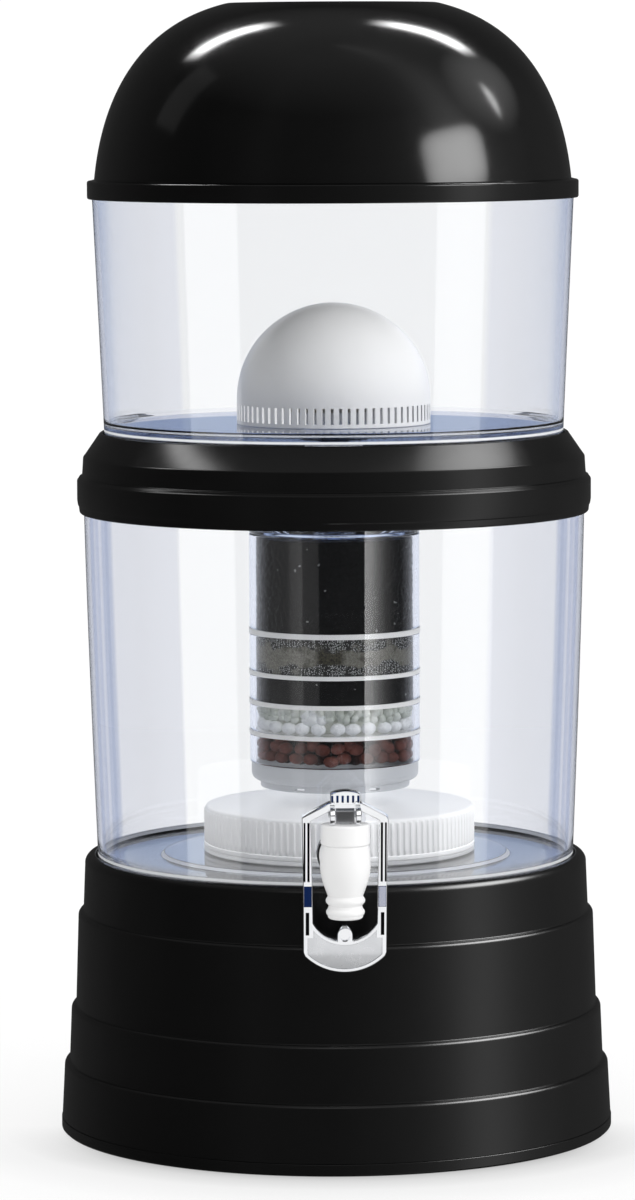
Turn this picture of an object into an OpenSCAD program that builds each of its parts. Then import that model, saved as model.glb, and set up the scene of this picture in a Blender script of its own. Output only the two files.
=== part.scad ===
// Two-tier gravity water filter with a lever tap. Millimetres, +Z up, the front
// (tap side) faces -Y. The origin is the centre of the flat underside of the foot
// ring, on the vertical axis of the tanks.

/* [Tanks] */
// Wall thickness of both clear tanks
tank_wall = 2.5; // [2:0.1:3]
// Thickness of the tank floors
floor_t = 3; // [2.4:0.1:3]
// Height of the rim of the upper tank above the table
upper_rim_z = 478; // [470:1:478]

/* [Lid] */
// Wall thickness of the lid
lid_wall = 2.5; // [2:0.1:3]
// Radius of the flat top of the lid
lid_flat_r = 52.6; // [40:0.2:58]

/* [Base] */
// Wall thickness of the hollow base
base_wall = 3; // [2.4:0.1:3.4]
// Number of gussets under the shelf the lower tank stands on
gussets = 12; // [6, 12]

/* [Filter elements] */
// Slots round the foot of the dome cover, an even number
dome_slots = 72; // [48, 60, 72]
// Grip ribs round the lid of the stone case
case_ribs = 120; // [60, 90, 120]
// Radius of the red ceramic balls
red_ball_r = 3.65; // [3.2:0.05:3.65]
// Radius of the white ceramic balls
white_ball_r = 3.4; // [3:0.05:3.4]
// Sideways offset of the stone case from the axis
case_x = 2; // [-4:0.5:4]

/* [Tap] */
// Radius of the spout outlet
spout_r = 5; // [4:0.5:5]
// Backward lean of the lever at rest, degrees
lean = 11; // [9:0.5:12]
// Distance from the lever pin forward to the centre of the cam nose
cam_e = 7.5; // [6.5:0.5:7.5]
// Wire diameter of the return spring
wire_d = 0.9; // [0.7:0.1:0.9]

/* [Hidden] */
$fn = 96;
tap_y = -168;                 // axis of the tap barrel
tap_z = 156;                  // axis of the shank
pin_z = 182;                  // lever pin
cam_r = 4.2;                  // nose radius of the cam
seat_z = 150;                 // valve seat

// heights of the boundaries in the cartridge, from the bottom cap up
c_bot = 187.6;  s4a = 201.9; s4b = 204.0; s3a = 217.5; s3b = 219.7;
s2a = 232.4; s2b = 234.5; s1a = 253.0; s1b = 255.6; c_top = 303.5;
shell_or = 43.2; bed_r = 40.0;

/* ---- helpers ---- */

// points on an arc of radius r round (cx, cz), from angle a0 to a1 in n steps
function arcp(cx, cz, r, a0, a1, n) =
    [for (i = [0 : n]) [cx + r * cos(a0 + (a1 - a0) * i / n), cz + r * sin(a0 + (a1 - a0) * i / n)]];

// closed revolve of a profile given as [radius, height] points
module spin(p, fn = 96) { rotate_extrude($fn = fn) polygon(p); }

// hollow cylinder
module tube(ro, ri, z0, z1, fn = 96) {
    translate([0, 0, z0]) difference() {
        cylinder(r = ro, h = z1 - z0, $fn = fn);
        translate([0, 0, -1]) cylinder(r = ri, h = z1 - z0 + 2, $fn = fn);
    }
}

// cylinder along +Y from y0 to y1 at height z
module ycyl(r, y0, y1, z, fn = 48) {
    translate([0, y0, z]) rotate([-90, 0, 0]) cylinder(r = r, h = y1 - y0, $fn = fn);
}

/* ---- base ---- */

module foot_ring() color([0.06, 0.06, 0.065]) {
    spin([[126, 0], [139.4, 0], [140.5, 1.0], [140.5, 6], [136.7, 6], [136.7, 12],
          [134.4, 12], [134.4, 6], [126, 6]]);
}

// the stepped outer wall, with the seat for the lower tank inside its top edge
module base_stand() color([0.06, 0.06, 0.065]) {
    w = base_wall;
    spin(concat(
        [[140.2, 6], [138.8, 32.3]], arcp(136.2, 32.3, 2.6, 6, 82, 4),
        [[136.2, 35.0], [135.1, 61.1]], arcp(132.5, 61.1, 2.6, 6, 82, 4),
        [[132.7, 64.0], [131.2, 109.1]], arcp(128.6, 109.1, 2.6, 6, 82, 4),
        [[128.6, 112.0], [127.6, 135.8]], arcp(122.7, 135.7, 4.95, 6, 84, 5),
        [[122.6, 140.7], [122.2, 140.2], [122.2, 125], [128.4 - w, 125], [128.4 - w, 111.5],
         [131.0 - w, 108.5], [132.6 - w, 62.7], [134.9 - w, 59.7], [136.0 - w, 33.5],
         [138.6 - w, 30.5], [140.2 - w, 6]]), 120);
}

// the shelf the lower tank stands on, with its stiffening skirt
module base_shelf() color([0.06, 0.06, 0.065]) {
    spin([[122.2, 128], [100.2, 128], [98, 126.5], [98, 118], [100.2, 118], [100.2, 125], [122.2, 125]], 120);
}

// upright plates under the shelf
module base_gussets() color([0.06, 0.06, 0.065]) {
    for (i = [0 : gussets - 1]) rotate(i * 360 / gussets + 15)
        translate([100.2, -1.25, 100]) cube([128.4 - base_wall - 100.3, 2.5, 25]);
}

/* ---- lower tank ---- */

function lt_r(z) = 120.5 + 6.4 * (1 - pow(1 - min(1, (z - 128) / 200), 1.25));

module lower_tank() color([0.80, 0.84, 0.95, 0.35]) {
    w = tank_wall;
    // heights of the breaks in the wall, none of them beside the tap pad
    hz = [128, 178, 203, 228, 253, 278, 303, 328];
    difference() {
        union() {
            spin(concat(
                [for (h = hz) [lt_r(h), h]],
                [for (i = [7 : -1 : 1]) [lt_r(hz[i]) - w, hz[i]]],
                [[lt_r(140.4) - w, 140.4], [lt_r(140.4) - w - 1, 139.5],
                 [lt_r(140.4) - w - 1, 139.5 - floor_t], [lt_r(134) - w, 139.5 - floor_t],
                 [lt_r(128) - w, 128]]), 120);
            ycyl(14, -123.2, -117, tap_z);
        }
        ycyl(8, -130, -110, tap_z);
    }
}

module lower_tank_floor() color([0.80, 0.84, 0.95, 0.35]) {
    ro = lt_r(140.4) - tank_wall - 1;
    spin([[ro, 139.5], [89, 139.5], [87, 141.5], [0, 141.5], [0, 141.5 - floor_t], [87, 141.5 - floor_t],
          [89, 139.5 - floor_t], [ro, 139.5 - floor_t]], 120);
}

/* ---- stone case ---- */

module stone_case_tray() color([0.95, 0.95, 0.95]) {
    translate([case_x, 0, 0]) {
        spin([[0, 141.5], [66.6, 141.5], [68.9, 142.3], [68.9, 144.2], [66.4, 144.2], [66.4, 156],
              [64.4, 156], [64.4, 143.7], [0, 143.7]]);
    }
}

module stone_case_lid() color([0.95, 0.95, 0.95]) {
    translate([case_x, 0, 0]) union() {
        spin(concat([[66.7, 144.3], [68.9, 144.3], [68.9, 146.6], [68.2, 146.6], [68.2, 163.5]],
             arcp(66.7, 163.5, 1.5, 0, 76, 4),
             [[60, 165.5], [46, 166.2], [0, 166.2], [0, 164.2], [46, 164.2], [64.6, 163.3],
              [66.0, 162.2], [66.0, 157.5], [66.7, 157]]));
        for (i = [0 : case_ribs - 1]) rotate(i * 360 / case_ribs)
            translate([67.2, -0.8, 146.0]) cube([1.62, 1.6, 17.4]);
    }
}

module mineral_stones() color([0.72, 0.66, 0.58]) {
    translate([case_x, 0, 0])
    for (i = [-3 : 3], j = [-3 : 3])
        if (abs(i + j) <= 3) translate([(i + j * 0.5) * 15.6, j * 13.5, 143.8 + 6.6 + 0.5 * abs(i % 2)])
            sphere(r = 6.4, $fn = 24);
}

/* ---- middle ring ---- */

module mid_ring() color([0.06, 0.06, 0.065]) {
    spin(concat([[116.95, 354.6], [117.6, 355.2], [118.6, 354.6]],
        arcp(124.6, 341.8, 2.4, 50, 4, 4),
        [[127.3, 336.8], [127.6, 333.4], [128.9, 332.9]], arcp(128.6, 330.6, 1.5, 55, 0, 3),
        [[130.1, 327], [130.1, 321], [129.7, 318.6], [129.2, 318.1], [129.2, 317.4]],
        arcp(127.7, 315.7, 1.3, 0, -70, 3),
        [[127.5, 314.5], [127.25, 315.2], [127.25, 328], [124.6, 328], [124.6, 340.6],
         [122.9, 342.6], [117.4, 351.8], [116.95, 352.4]]), 120);
}

// the flat web inside the ring, between the rims of the two tanks
module mid_ring_web() color([0.06, 0.06, 0.065]) {
    spin([[124.6, 331], [97.6, 331], [97.6, 325], [100, 325], [100, 328], [124.6, 328]], 120);
}

/* ---- upper tank ---- */

function ut_r(z) = 115.2 + 6.4 * pow((z - 331) / 147, 1.05);

module upper_tank() color([0.80, 0.84, 0.95, 0.35]) {
    w = tank_wall;
    zt = upper_rim_z;
    spin(concat(
        [for (i = [0 : 6]) [ut_r(331 + i * (zt - 331) / 6), 331 + i * (zt - 331) / 6]],
        [[ut_r(zt) - w, zt]],
        [for (i = [5 : -1 : 2]) [ut_r(331 + i * (zt - 331) / 6) - w, 331 + i * (zt - 331) / 6]],
        [[ut_r(361) - w, 361], [ut_r(361) - w - 2, 359], [ut_r(361) - w - 2, 359 - floor_t],
         [ut_r(350) - w, 359 - floor_t], [ut_r(331) - w, 331]]), 120);
}

module upper_tank_floor() color([0.80, 0.84, 0.95, 0.35]) {
    difference() {
        translate([0, 0, 359 - floor_t]) cylinder(r = ut_r(361) - tank_wall - 2, h = floor_t, $fn = 120);
        translate([0, 0, 350]) cylinder(r = 8.3, h = 12, $fn = 48);
    }
}

/* ---- lid ---- */

lid_a = 121.46; lid_b = 120.7; lid_n = 3.03; lid_m = 2.44; lid_z0 = 454;
// point of the lid's curve at parameter t, inset by k
function lidp(t, k) = [(lid_a - k) * pow(cos(t), 2 / lid_n), lid_z0 + (lid_b - k) * pow(sin(t), 2 / lid_m)];
// parameter at which the curve reaches radius r
function lid_t(r, k) = acos(pow(r / (lid_a - k), lid_n / 2));

module lid() color([0.06, 0.06, 0.065]) {
    w = lid_wall;
    t1 = lid_t(lid_flat_r, 0);
    t2 = lid_t(lid_flat_r - 1, w);
    n = 22;
    p0 = lidp(t1, 0);
    q0 = lidp(t2, w);
    spin(concat([[0, p0[1]]],
        [for (i = [0 : n]) lidp(t1 + (9.9 - t1) * i / n, 0)],
        arcp(122.9, 480.9, 1.0, 90, 0, 3),
        [[123.9, 473.4], [123.4, 472.8], [122.0, 472.8], [122.0, 478.05], [118.3, 478.05], [118.3, 474],
         [116.4, 474], [116.4, 482]],
        [for (i = [0 : n]) lidp(10.8 + (t2 - 10.8) * i / n, w)],
        [[0, q0[1]]]), 120);
}

/* ---- ceramic filter dome and its cover ---- */

module dome_cover() color([0.93, 0.93, 0.93]) {
    difference() {
        spin(concat([[49, 359], [49, 371.5]], arcp2(49, 371.5, 48.6, 4, 90, 14),
             arcp2(47, 371.5, 46.4, 90, 4, 14), [[47, 371.5], [47, 359]]));
        for (i = [0 : dome_slots - 1]) rotate((i + 0.5) * 360 / dome_slots)
            translate([45, -0.75, 361.2]) cube([6, 1.5, 8]);
    }
}
// points on an elliptic arc of half-axes a (radius) and b (height) standing on height z
function arcp2(a, z, b, a0, a1, n) =
    [for (i = [0 : n]) [a * cos(a0 + (a1 - a0) * i / n), z + b * sin(a0 + (a1 - a0) * i / n)]];

module ceramic_dome() color([0.93, 0.91, 0.86]) {
    spin(concat([[39, 364.6], [39, 372]], arcp2(39, 372, 39.5, 6, 90, 10),
         arcp2(31, 372, 31.5, 90, 6, 10), [[31, 364.6]]));
}

module ceramic_base() color([0.90, 0.91, 0.92]) {
    difference() {
        spin([[0, 360.6], [41.2, 360.6], [42, 361.4], [42, 366.8], [39.6, 366.8], [39.6, 364.2], [0, 364.2]]);
        translate([0, 0, 355]) cylinder(r = 8.05, h = 15, $fn = 48);
    }
}

module outlet_stud() color([0.88, 0.89, 0.90]) {
    difference() {
        spin(concat([[0, 336], [7.4, 336], [8, 336.8]],
            [for (i = [0 : 5]) each [[8, 337.6 + i * 2], [7.4, 338.2 + i * 2], [8, 338.8 + i * 2]]],
            [[8, 364.2], [12, 364.2], [12, 367.2], [0, 367.2]]), 48);
        translate([0, 0, 330]) cylinder(r = 4, h = 50, $fn = 48);
    }
}

module floor_washer() color([0.30, 0.30, 0.31]) { tube(17, 8.4, 359, 360.6, 64); }
module under_washer() color([0.30, 0.30, 0.31]) { tube(15, 8.4, 354.4, 356, 64); }

module stud_nut() color([0.90, 0.91, 0.92]) {
    difference() {
        union() {
            translate([0, 0, 348.6]) cylinder(r = 14.6, h = 5.8, $fn = 6);
            translate([0, 0, 353.2]) cylinder(r = 15.6, h = 1.2, $fn = 48);
        }
        translate([0, 0, 340]) cylinder(r = 8.05, h = 20, $fn = 48);
    }
}

/* ---- mineral cartridge ---- */

module cartridge_cap() color([0.75, 0.82, 0.95, 0.45]) {
    difference() {
        spin([[0, 303.5], [42.6, 303.5], [43.3, 304.2], [43.3, 307.9], [42.6, 308.6], [26, 308.6],
              [14.5, 318], [12.2, 320], [12.2, 347.4], [0, 347.4]]);
        translate([0, 0, 322]) cylinder(r = 8.06, h = 30, $fn = 48);
        translate([0, 0, 300]) cylinder(r = 4, h = 30, $fn = 48);
        spin([[0, 303], [36, 303], [36, 305.4], [24, 305.9], [12, 315.5], [0, 315.5]]);
    }
}

module shell_section(z0, z1) color([0.85, 0.88, 0.95, 0.3]) { tube(shell_or, bed_r + 0.25, z0, z1, 96); }
module shell_section_1() { shell_section(s1b, c_top); }
module shell_section_2() { shell_section(s2b, s1a); }
module shell_section_3() { shell_section(s3b, s2a); }
module shell_section_4() { shell_section(s4b, s3a); }
module shell_section_5() { shell_section(c_bot, s4a); }

module separator(z0, z1) color([0.93, 0.94, 0.95]) {
    difference() {
        translate([0, 0, z0]) cylinder(r = shell_or + 0.3, h = z1 - z0, $fn = 96);
        for (r = [12, 24], i = [0 : r / 2 - 1]) rotate(i * 720 / r)
            translate([r, 0, z0 - 1]) cylinder(r = 1.6, h = z1 - z0 + 2, $fn = 16);
    }
}
module separator_1() { separator(s1a, s1b); }
module separator_2() { separator(s2a, s2b); }
module separator_3() { separator(s3a, s3b); }
module separator_4() { separator(s4a, s4b); }

module bed(z0, z1) { translate([0, 0, z0]) cylinder(r = bed_r, h = z1 - z0, $fn = 96); }
module carbon_bed() color([0.05, 0.05, 0.055]) { bed(s1b + 0.1, c_top - 1.5); }
module mineral_sand_bed() color([0.45, 0.45, 0.41]) { bed(s2b + 0.1, s1a - 0.4); }
module fine_carbon_bed() color([0.04, 0.04, 0.045]) { bed(s3b + 0.1, s2a - 0.4); }
module silica_bed() color([0.75, 0.78, 0.74, 0.8]) {
    h = s4b + 2 * white_ball_r + 0.3;
    spin([[0, s4b + 0.1], [bed_r - 2 * white_ball_r - 0.6, s4b + 0.1], [bed_r - 2 * white_ball_r - 0.6, h],
          [bed_r, h], [bed_r, s3a - 0.4], [0, s3a - 0.4]]);
}

module ball_ring(n, r, z, rb, a0) {
    for (i = [0 : n - 1]) rotate(a0 + i * 360 / n) translate([r, 0, z]) sphere(r = rb, $fn = 20);
}
module white_balls() color([0.93, 0.94, 0.94]) {
    ball_ring(32, bed_r - white_ball_r - 0.05, s4b + white_ball_r + 0.08, white_ball_r, 0);
}
module red_balls() color([0.40, 0.16, 0.12]) {
    ball_ring(29, bed_r - red_ball_r - 0.05, c_bot + red_ball_r + 0.1, red_ball_r, 0);
    ball_ring(29, bed_r - red_ball_r - 0.05, s4a - red_ball_r - 0.3, red_ball_r, 180 / 29);
    translate([0, 0, c_bot + 0.1]) cylinder(r = bed_r - 2 * red_ball_r - 0.4, h = s4a - c_bot - 0.5, $fn = 96);
}

module cartridge_bottom_cap() color([0.80, 0.82, 0.84]) {
    difference() {
        spin(concat([[42.5, c_bot], [42.4, 181.6]], arcp(39.1, 181.5, 3.2, 0, -84, 5),
             [[38.2, 178.3], [37.8, 174.7], [34.6, 174.7], [34.6, 178.3], [0, 178.3], [0, 181],
              [38.4, 181], [39.6, 182.4], [39.6, c_bot]]));
        for (i = [0 : 5]) rotate(i * 60) translate([30, -3, 175.6]) cube([12, 6, 1.3]);
        for (i = [0 : 11]) rotate(i * 30) translate([22, 0, 176]) cylinder(r = 1.6, h = 8, $fn = 16);
    }
}

/* ---- tap ---- */

module tap_body() color([0.95, 0.95, 0.95]) {
    difference() {
        union() {
            translate([0, tap_y, 0]) spin(concat(
                [[0, 131.6], [7.6, 131.6], [8.4, 132.3]], arcp(7.4, 134.8, 1.9, -50, 50, 4),
                [[8.2, 137.2], [8.1, 138.0]], arcp(7.6, 140.4, 1.9, -50, 50, 4),
                [[8.5, 142.6], [9.6, 145.6], [11.0, 149.6], [11.9, 153.8], [12.2, 157.4], [12.1, 161],
                 [11.6, 165], [11.3, 167.2], [0, 167.2]]), 64);
            ycyl(8.8, tap_y, -127, tap_z);
            ycyl(11.5, -128.2, -125.7, tap_z);
            translate([0, -125.7, tap_z]) rotate([-90, 0, 0]) spin(concat([[0, 0], [7.5, 0], [7.5, 8]],
                [for (i = [0 : 8]) each [[7.0, 8.6 + i * 2], [7.5, 9.6 + i * 2]]],
                [[7.0, 26.6], [7.0, 28], [0, 28]]), 48);
        }
        translate([0, tap_y, 130]) cylinder(r = spout_r, h = 30, $fn = 48);
        translate([0, tap_y, seat_z]) cylinder(r = 8.6, h = 20, $fn = 48);
        ycyl(4.5, tap_y + 4, -90, tap_z);
    }
}

module tap_bonnet() color([0.95, 0.95, 0.95]) {
    translate([0, tap_y, 0]) spin(concat([[3.06, 174.5], [7, 174.5], [7, 163], [8.5, 163], [8.5, 167.25],
        [11.2, 167.25], [11.85, 168]], arcp(10.85, 176.4, 1.0, 0, 80, 3), [[10.4, 177.5], [3.06, 177.5]]), 64);
}

module tap_stem() color([0.86, 0.87, 0.88]) {
    difference() {
        translate([0, tap_y, 0]) union() {
            translate([0, 0, 155.6]) cylinder(r = 6.2, h = 1.6, $fn = 48);
            translate([0, 0, 153]) cylinder(r = 2, h = 4, $fn = 32);
            translate([0, 0, 156]) cylinder(r = 3, h = 22.2, $fn = 48);
            translate([-4.4, -3, 178]) cube([8.8, 6, 4]);
            translate([-4.4, 0, pin_z]) rotate([0, 90, 0]) cylinder(r = 3, h = 8.8, $fn = 48);
        }
        translate([-10, tap_y, pin_z]) rotate([0, 90, 0]) cylinder(r = 1.56, h = 20, $fn = 48);
    }
}

module tap_seal() color([0.25, 0.25, 0.26]) {
    translate([0, tap_y, 0]) difference() {
        spin([[0, seat_z], [7.4, seat_z], [7.4, 152.4], [5.6, 155.5], [0, 155.5]], 48);
        translate([0, 0, 152.9]) cylinder(r = 2.05, h = 4, $fn = 32);
    }
}

module tap_spring() color([0.75, 0.76, 0.78]) {
    turns = 6; per = 20; m = 8;
    z0 = 157.2 + wire_d / 2 + 0.05; z1 = 174.5 - wire_d / 2 - 0.05; rr = 5.0;
    ns = turns * per;
    pts = [for (i = [0 : ns], j = [0 : m - 1])
        let (a = i * 360 / per, b = j * 360 / m, c = rr + wire_d / 2 * cos(b))
        [c * cos(a), c * sin(a), z0 + (z1 - z0) * i / ns + wire_d / 2 * sin(b)]];
    faces = concat([[for (j = [0 : m - 1]) j]], [[for (j = [m - 1 : -1 : 0]) ns * m + j]],
        [for (i = [0 : ns - 1], j = [0 : m - 1])
            [i * m + j, (i + 1) * m + j, (i + 1) * m + (j + 1) % m, i * m + (j + 1) % m]]);
    translate([0, tap_y, 0]) polyhedron(points = pts, faces = faces, convexity = 8);
}

module tap_washer_outer() color([0.28, 0.28, 0.29]) {
    translate([0, -125.7, tap_z]) rotate([-90, 0, 0]) tube(11.4, 7.6, 0, 2.5, 48);
}
module tap_washer_inner() color([0.28, 0.28, 0.29]) {
    translate([0, -117, tap_z]) rotate([-90, 0, 0]) tube(12.4, 7.6, 0, 2, 48);
}
module tap_nut() color([0.95, 0.95, 0.95]) {
    difference() {
        ycyl(13, -115, -108.5, tap_z, 6);
        ycyl(7.56, -120, -100, tap_z);
    }
}

/* ---- lever ---- */

// places a child drawn in the lever's own plane: x sideways, y up, z towards the front
module in_lever() { translate([0, tap_y, pin_z]) rotate([lean, 0, 0]) rotate([90, 0, 0]) children(); }

module lever_outline() {
    union() {
        polygon([[-20.8, -1], [-20.2, -36], [-20.1, -70.7], [20.1, -70.7], [20.2, -36], [20.8, -1],
                 [7.8, 6.1], [-7.8, 6.1]]);
        intersection() {
            translate([0, -53.05]) circle(r = 26.75, $fn = 96);
            translate([-20.1, -80]) square([40.2, 10]);
        }
    }
}
// the open window between the side bars, with the round nub standing up into it
module lever_window(k) {
    difference() {
        union() {
            polygon([[-16.6, -2.6], [-15.7, -36], [-15.5, -54.6], [15.5, -54.6], [15.7, -36], [16.6, -2.6],
                     [7.3, 2.2], [6.0, 3.6], [-6.0, 3.6], [-7.3, 2.2]]);
            intersection() {
                translate([0, -46.7]) circle(r = 17.4, $fn = 64);
                translate([-15.5, -70]) square([31, 15.6]);
            }
        }
        translate([0, -60.6]) circle(r = 3.7, $fn = 48);
        translate([-3.7, -66]) square([7.4, 5.4]);
    }
}
module pad_area() {
    difference() {
        union() {
            translate([-18.0, -70.7]) square([36, 15.4]);
            intersection() {
                translate([0, -53.05]) circle(r = 25.0, $fn = 96);
                translate([-18.0, -80]) square([36, 10]);
            }
        }
        translate([0, -46.7]) circle(r = 19.0, $fn = 96);
        translate([15.2, -62]) square([4, 8]);
        translate([-19.2, -62]) square([4, 8]);
    }
}

module lever_frame() color([0.80, 0.81, 0.83]) {
    difference() {
        union() {
            in_lever() translate([0, 0, -2.6]) linear_extrude(5.2) difference() {
                lever_outline();
                lever_window(0);
            }
            // thumb block on the bridge
            in_lever() translate([0, 0, -2.4]) linear_extrude(4.8) intersection() {
                translate([-7.2, 5.5]) square([14.4, 7]);
                translate([0, -5.2]) circle(r = 17.4, $fn = 96);
            }
            // ears with the cam noses
            for (s = [-1, 1]) translate([s * 6.2 - 1.2, tap_y, pin_z]) rotate([0, 90, 0]) union() {
                cylinder(r = cam_r, h = 2.4, $fn = 48);
                translate([0, -cam_e, 0]) cylinder(r = cam_r, h = 2.4, $fn = 48);
                translate([-cam_r, -cam_e, 0]) cube([2 * cam_r, cam_e, 2.4]);
            }
        }
        // six grooves in the thumb block
        for (i = [0 : 5]) in_lever() translate([-5.25 + i * 2.1 - 0.5, 7.2, 1.6]) cube([1.0, 3.6, 2]);
        // channels in the side bars, insert pockets, slots below them
        for (s = [-1, 1]) {
            in_lever() translate([s * 18.2 - 0.75, -33, 1.6]) cube([1.5, 29.6, 2]);
            in_lever() translate([s * 17.9 - 1.9, -47.4, 1.4]) cube([3.8, 11.8, 2]);
            in_lever() translate([s * 17.8 - 0.85, -60.6, 0.6]) cube([1.7, 11.6, 3]);
        }
        // recess for the pad
        in_lever() translate([0, 0, 1.4]) linear_extrude(3) pad_area();
        // eye in the nub
        in_lever() translate([0, -61.4, 1.0]) cylinder(r = 1.9, h = 3, $fn = 32);
        translate([-10, tap_y, pin_z]) rotate([0, 90, 0]) cylinder(r = 1.5, h = 20, $fn = 48);
    }
}

module lever_pad() color([0.72, 0.73, 0.75]) {
    difference() {
        in_lever() translate([0, 0, 1.4]) linear_extrude(1.0) pad_area();
        in_lever() translate([0, -61.4, 1.0]) cylinder(r = 1.9, h = 3, $fn = 32);
    }
}

module lever_pin() color([0.75, 0.76, 0.78]) {
    translate([-8, tap_y, pin_z]) rotate([0, 90, 0]) cylinder(r = 1.5, h = 16, $fn = 48);
}

module lever_insert(s) color([0.05, 0.16, 0.42]) {
    in_lever() translate([s * 17.9 - 1.9, -47.4, 1.4]) cube([3.8, 11.8, 1.4]);
}
module lever_insert_left() { lever_insert(-1); }
module lever_insert_right() { lever_insert(1); }

foot_ring();
base_stand();
base_shelf();
base_gussets();
lower_tank();
lower_tank_floor();
stone_case_tray();
stone_case_lid();
mineral_stones();
mid_ring();
mid_ring_web();
upper_tank();
upper_tank_floor();
lid();
dome_cover();
ceramic_dome();
ceramic_base();
outlet_stud();
floor_washer();
under_washer();
stud_nut();
cartridge_cap();
shell_section_1();
shell_section_2();
shell_section_3();
shell_section_4();
shell_section_5();
separator_1();
separator_2();
separator_3();
separator_4();
carbon_bed();
mineral_sand_bed();
fine_carbon_bed();
silica_bed();
white_balls();
red_balls();
cartridge_bottom_cap();
tap_body();
tap_bonnet();
tap_stem();
tap_seal();
tap_spring();
tap_washer_outer();
tap_washer_inner();
tap_nut();
lever_frame();
lever_pad();
lever_pin();
lever_insert_left();
lever_insert_right();
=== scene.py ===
import math
import random

import bmesh
import bpy
from mathutils import Matrix, Vector, noise


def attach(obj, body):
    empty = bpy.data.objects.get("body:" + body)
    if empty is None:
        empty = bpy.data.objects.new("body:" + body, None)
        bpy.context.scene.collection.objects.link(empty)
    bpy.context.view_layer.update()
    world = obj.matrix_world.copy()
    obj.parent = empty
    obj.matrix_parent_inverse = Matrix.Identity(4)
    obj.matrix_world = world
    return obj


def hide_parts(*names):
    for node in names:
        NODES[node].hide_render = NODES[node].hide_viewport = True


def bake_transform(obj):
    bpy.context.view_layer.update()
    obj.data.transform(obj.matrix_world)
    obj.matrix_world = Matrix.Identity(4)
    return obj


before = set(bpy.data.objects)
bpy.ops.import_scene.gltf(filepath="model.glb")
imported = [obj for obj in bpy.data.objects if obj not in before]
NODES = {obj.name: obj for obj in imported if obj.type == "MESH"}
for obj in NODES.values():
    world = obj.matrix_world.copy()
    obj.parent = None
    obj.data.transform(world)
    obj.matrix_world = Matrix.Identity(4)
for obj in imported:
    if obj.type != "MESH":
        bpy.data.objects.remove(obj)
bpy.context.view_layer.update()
SCENE = bpy.context.scene
MM = 0.001
PI = math.pi


# ---------------------------------------------------------------- mesh helpers

def arc(cx, cz, r, a0, a1, n):
    """Points on an arc, angles in degrees."""
    return [(cx + r * math.cos(math.radians(a0 + (a1 - a0) * i / n)),
             cz + r * math.sin(math.radians(a0 + (a1 - a0) * i / n))) for i in range(n + 1)]


def oval(a, cz, b, a0, a1, n):
    return [(a * math.cos(math.radians(a0 + (a1 - a0) * i / n)),
             cz + b * math.sin(math.radians(a0 + (a1 - a0) * i / n))) for i in range(n + 1)]


def soften(pts, r=0.4, n=3, special=None, keep=0.35):
    """Rounds the corners of a closed outline and adds a support point on each side."""
    special = special or {}
    out = []
    count = len(pts)
    for i in range(count):
        p, a, b = Vector(pts[i]), Vector(pts[i - 1]), Vector(pts[(i + 1) % count])
        rr = special.get(i, r)
        u, v = a - p, b - p
        lu, lv = u.length, v.length
        if rr <= 0 or lu < 1e-6 or lv < 1e-6:
            out.append(tuple(p))
            continue
        u /= lu
        v /= lv
        ang = math.acos(max(-1.0, min(1.0, u.dot(v))))
        if ang > math.radians(158) or p.x < 1e-6:
            out.append(tuple(p))
            continue
        t = min(rr / math.tan(ang / 2), 0.42 * lu, 0.42 * lv)
        r2 = t * math.tan(ang / 2)
        c = p + (u + v).normalized() * (r2 / math.sin(ang / 2))
        s, e = p + u * t - c, p + v * t - c
        turn = PI - ang
        if lu > 3 * (t + keep):
            out.append(tuple(p + u * (t + keep)))
        for k in range(n + 1):
            f = k / n
            w = (s * math.sin((1 - f) * turn) + e * math.sin(f * turn)) / math.sin(turn)
            out.append(tuple(c + w))
        if lv > 3 * (t + keep):
            out.append(tuple(p + v * (t + keep)))
    return out


def finish_mesh(me, angle=40):
    me.validate()
    me.shade_smooth()
    me.set_sharp_from_angle(angle=math.radians(angle))
    return me


def obj_from(name, verts, faces, angle=40, recalc=True):
    """An object at the origin from points in millimetres."""
    me = bpy.data.meshes.new(name)
    me.from_pydata([(x * MM, y * MM, z * MM) for x, y, z in verts], [], faces)
    if recalc:
        bm = bmesh.new()
        bm.from_mesh(me)
        bmesh.ops.remove_doubles(bm, verts=bm.verts, dist=1e-7)
        bmesh.ops.recalc_face_normals(bm, faces=bm.faces)
        bm.to_mesh(me)
        bm.free()
    finish_mesh(me, angle)
    ob = bpy.data.objects.new(name, me)
    SCENE.collection.objects.link(ob)
    return ob


def spin_data(prof, seg=192, cx=0.0, cy=0.0, radial=None):
    """Points and faces of a closed profile turned about a vertical axis, in millimetres."""
    verts, faces, rows = [], [], []
    for r, z in prof:
        if r < 1e-6:
            rows.append([len(verts)])
            verts.append((cx, cy, z))
        else:
            row = []
            for j in range(seg):
                a = 2 * PI * j / seg
                rr = r if radial is None else radial(r, z, a)
                row.append(len(verts))
                verts.append((cx + rr * math.cos(a), cy + rr * math.sin(a), z))
            rows.append(row)
    n = len(rows)
    for i in range(n):
        a, b = rows[i], rows[(i + 1) % n]
        if len(a) == 1 and len(b) == 1:
            continue
        for j in range(seg):
            k = (j + 1) % seg
            if len(a) == 1:
                faces.append((a[0], b[k], b[j]))
            elif len(b) == 1:
                faces.append((a[j], a[k], b[0]))
            else:
                faces.append((a[j], a[k], b[k], b[j]))
    return verts, faces


def spin(name, prof, seg=192, cx=0.0, cy=0.0, angle=40, radial=None):
    v, f = spin_data(prof, seg, cx, cy, radial)
    return obj_from(name, v, f, angle)


def along_y(data, y0, z0, sign=1.0):
    """Turns data made about the vertical axis so that its height runs along +Y from y0 at height z0."""
    v, f = data
    return [(x, y0 + sign * z, z0 + y) for x, y, z in v], f


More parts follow.
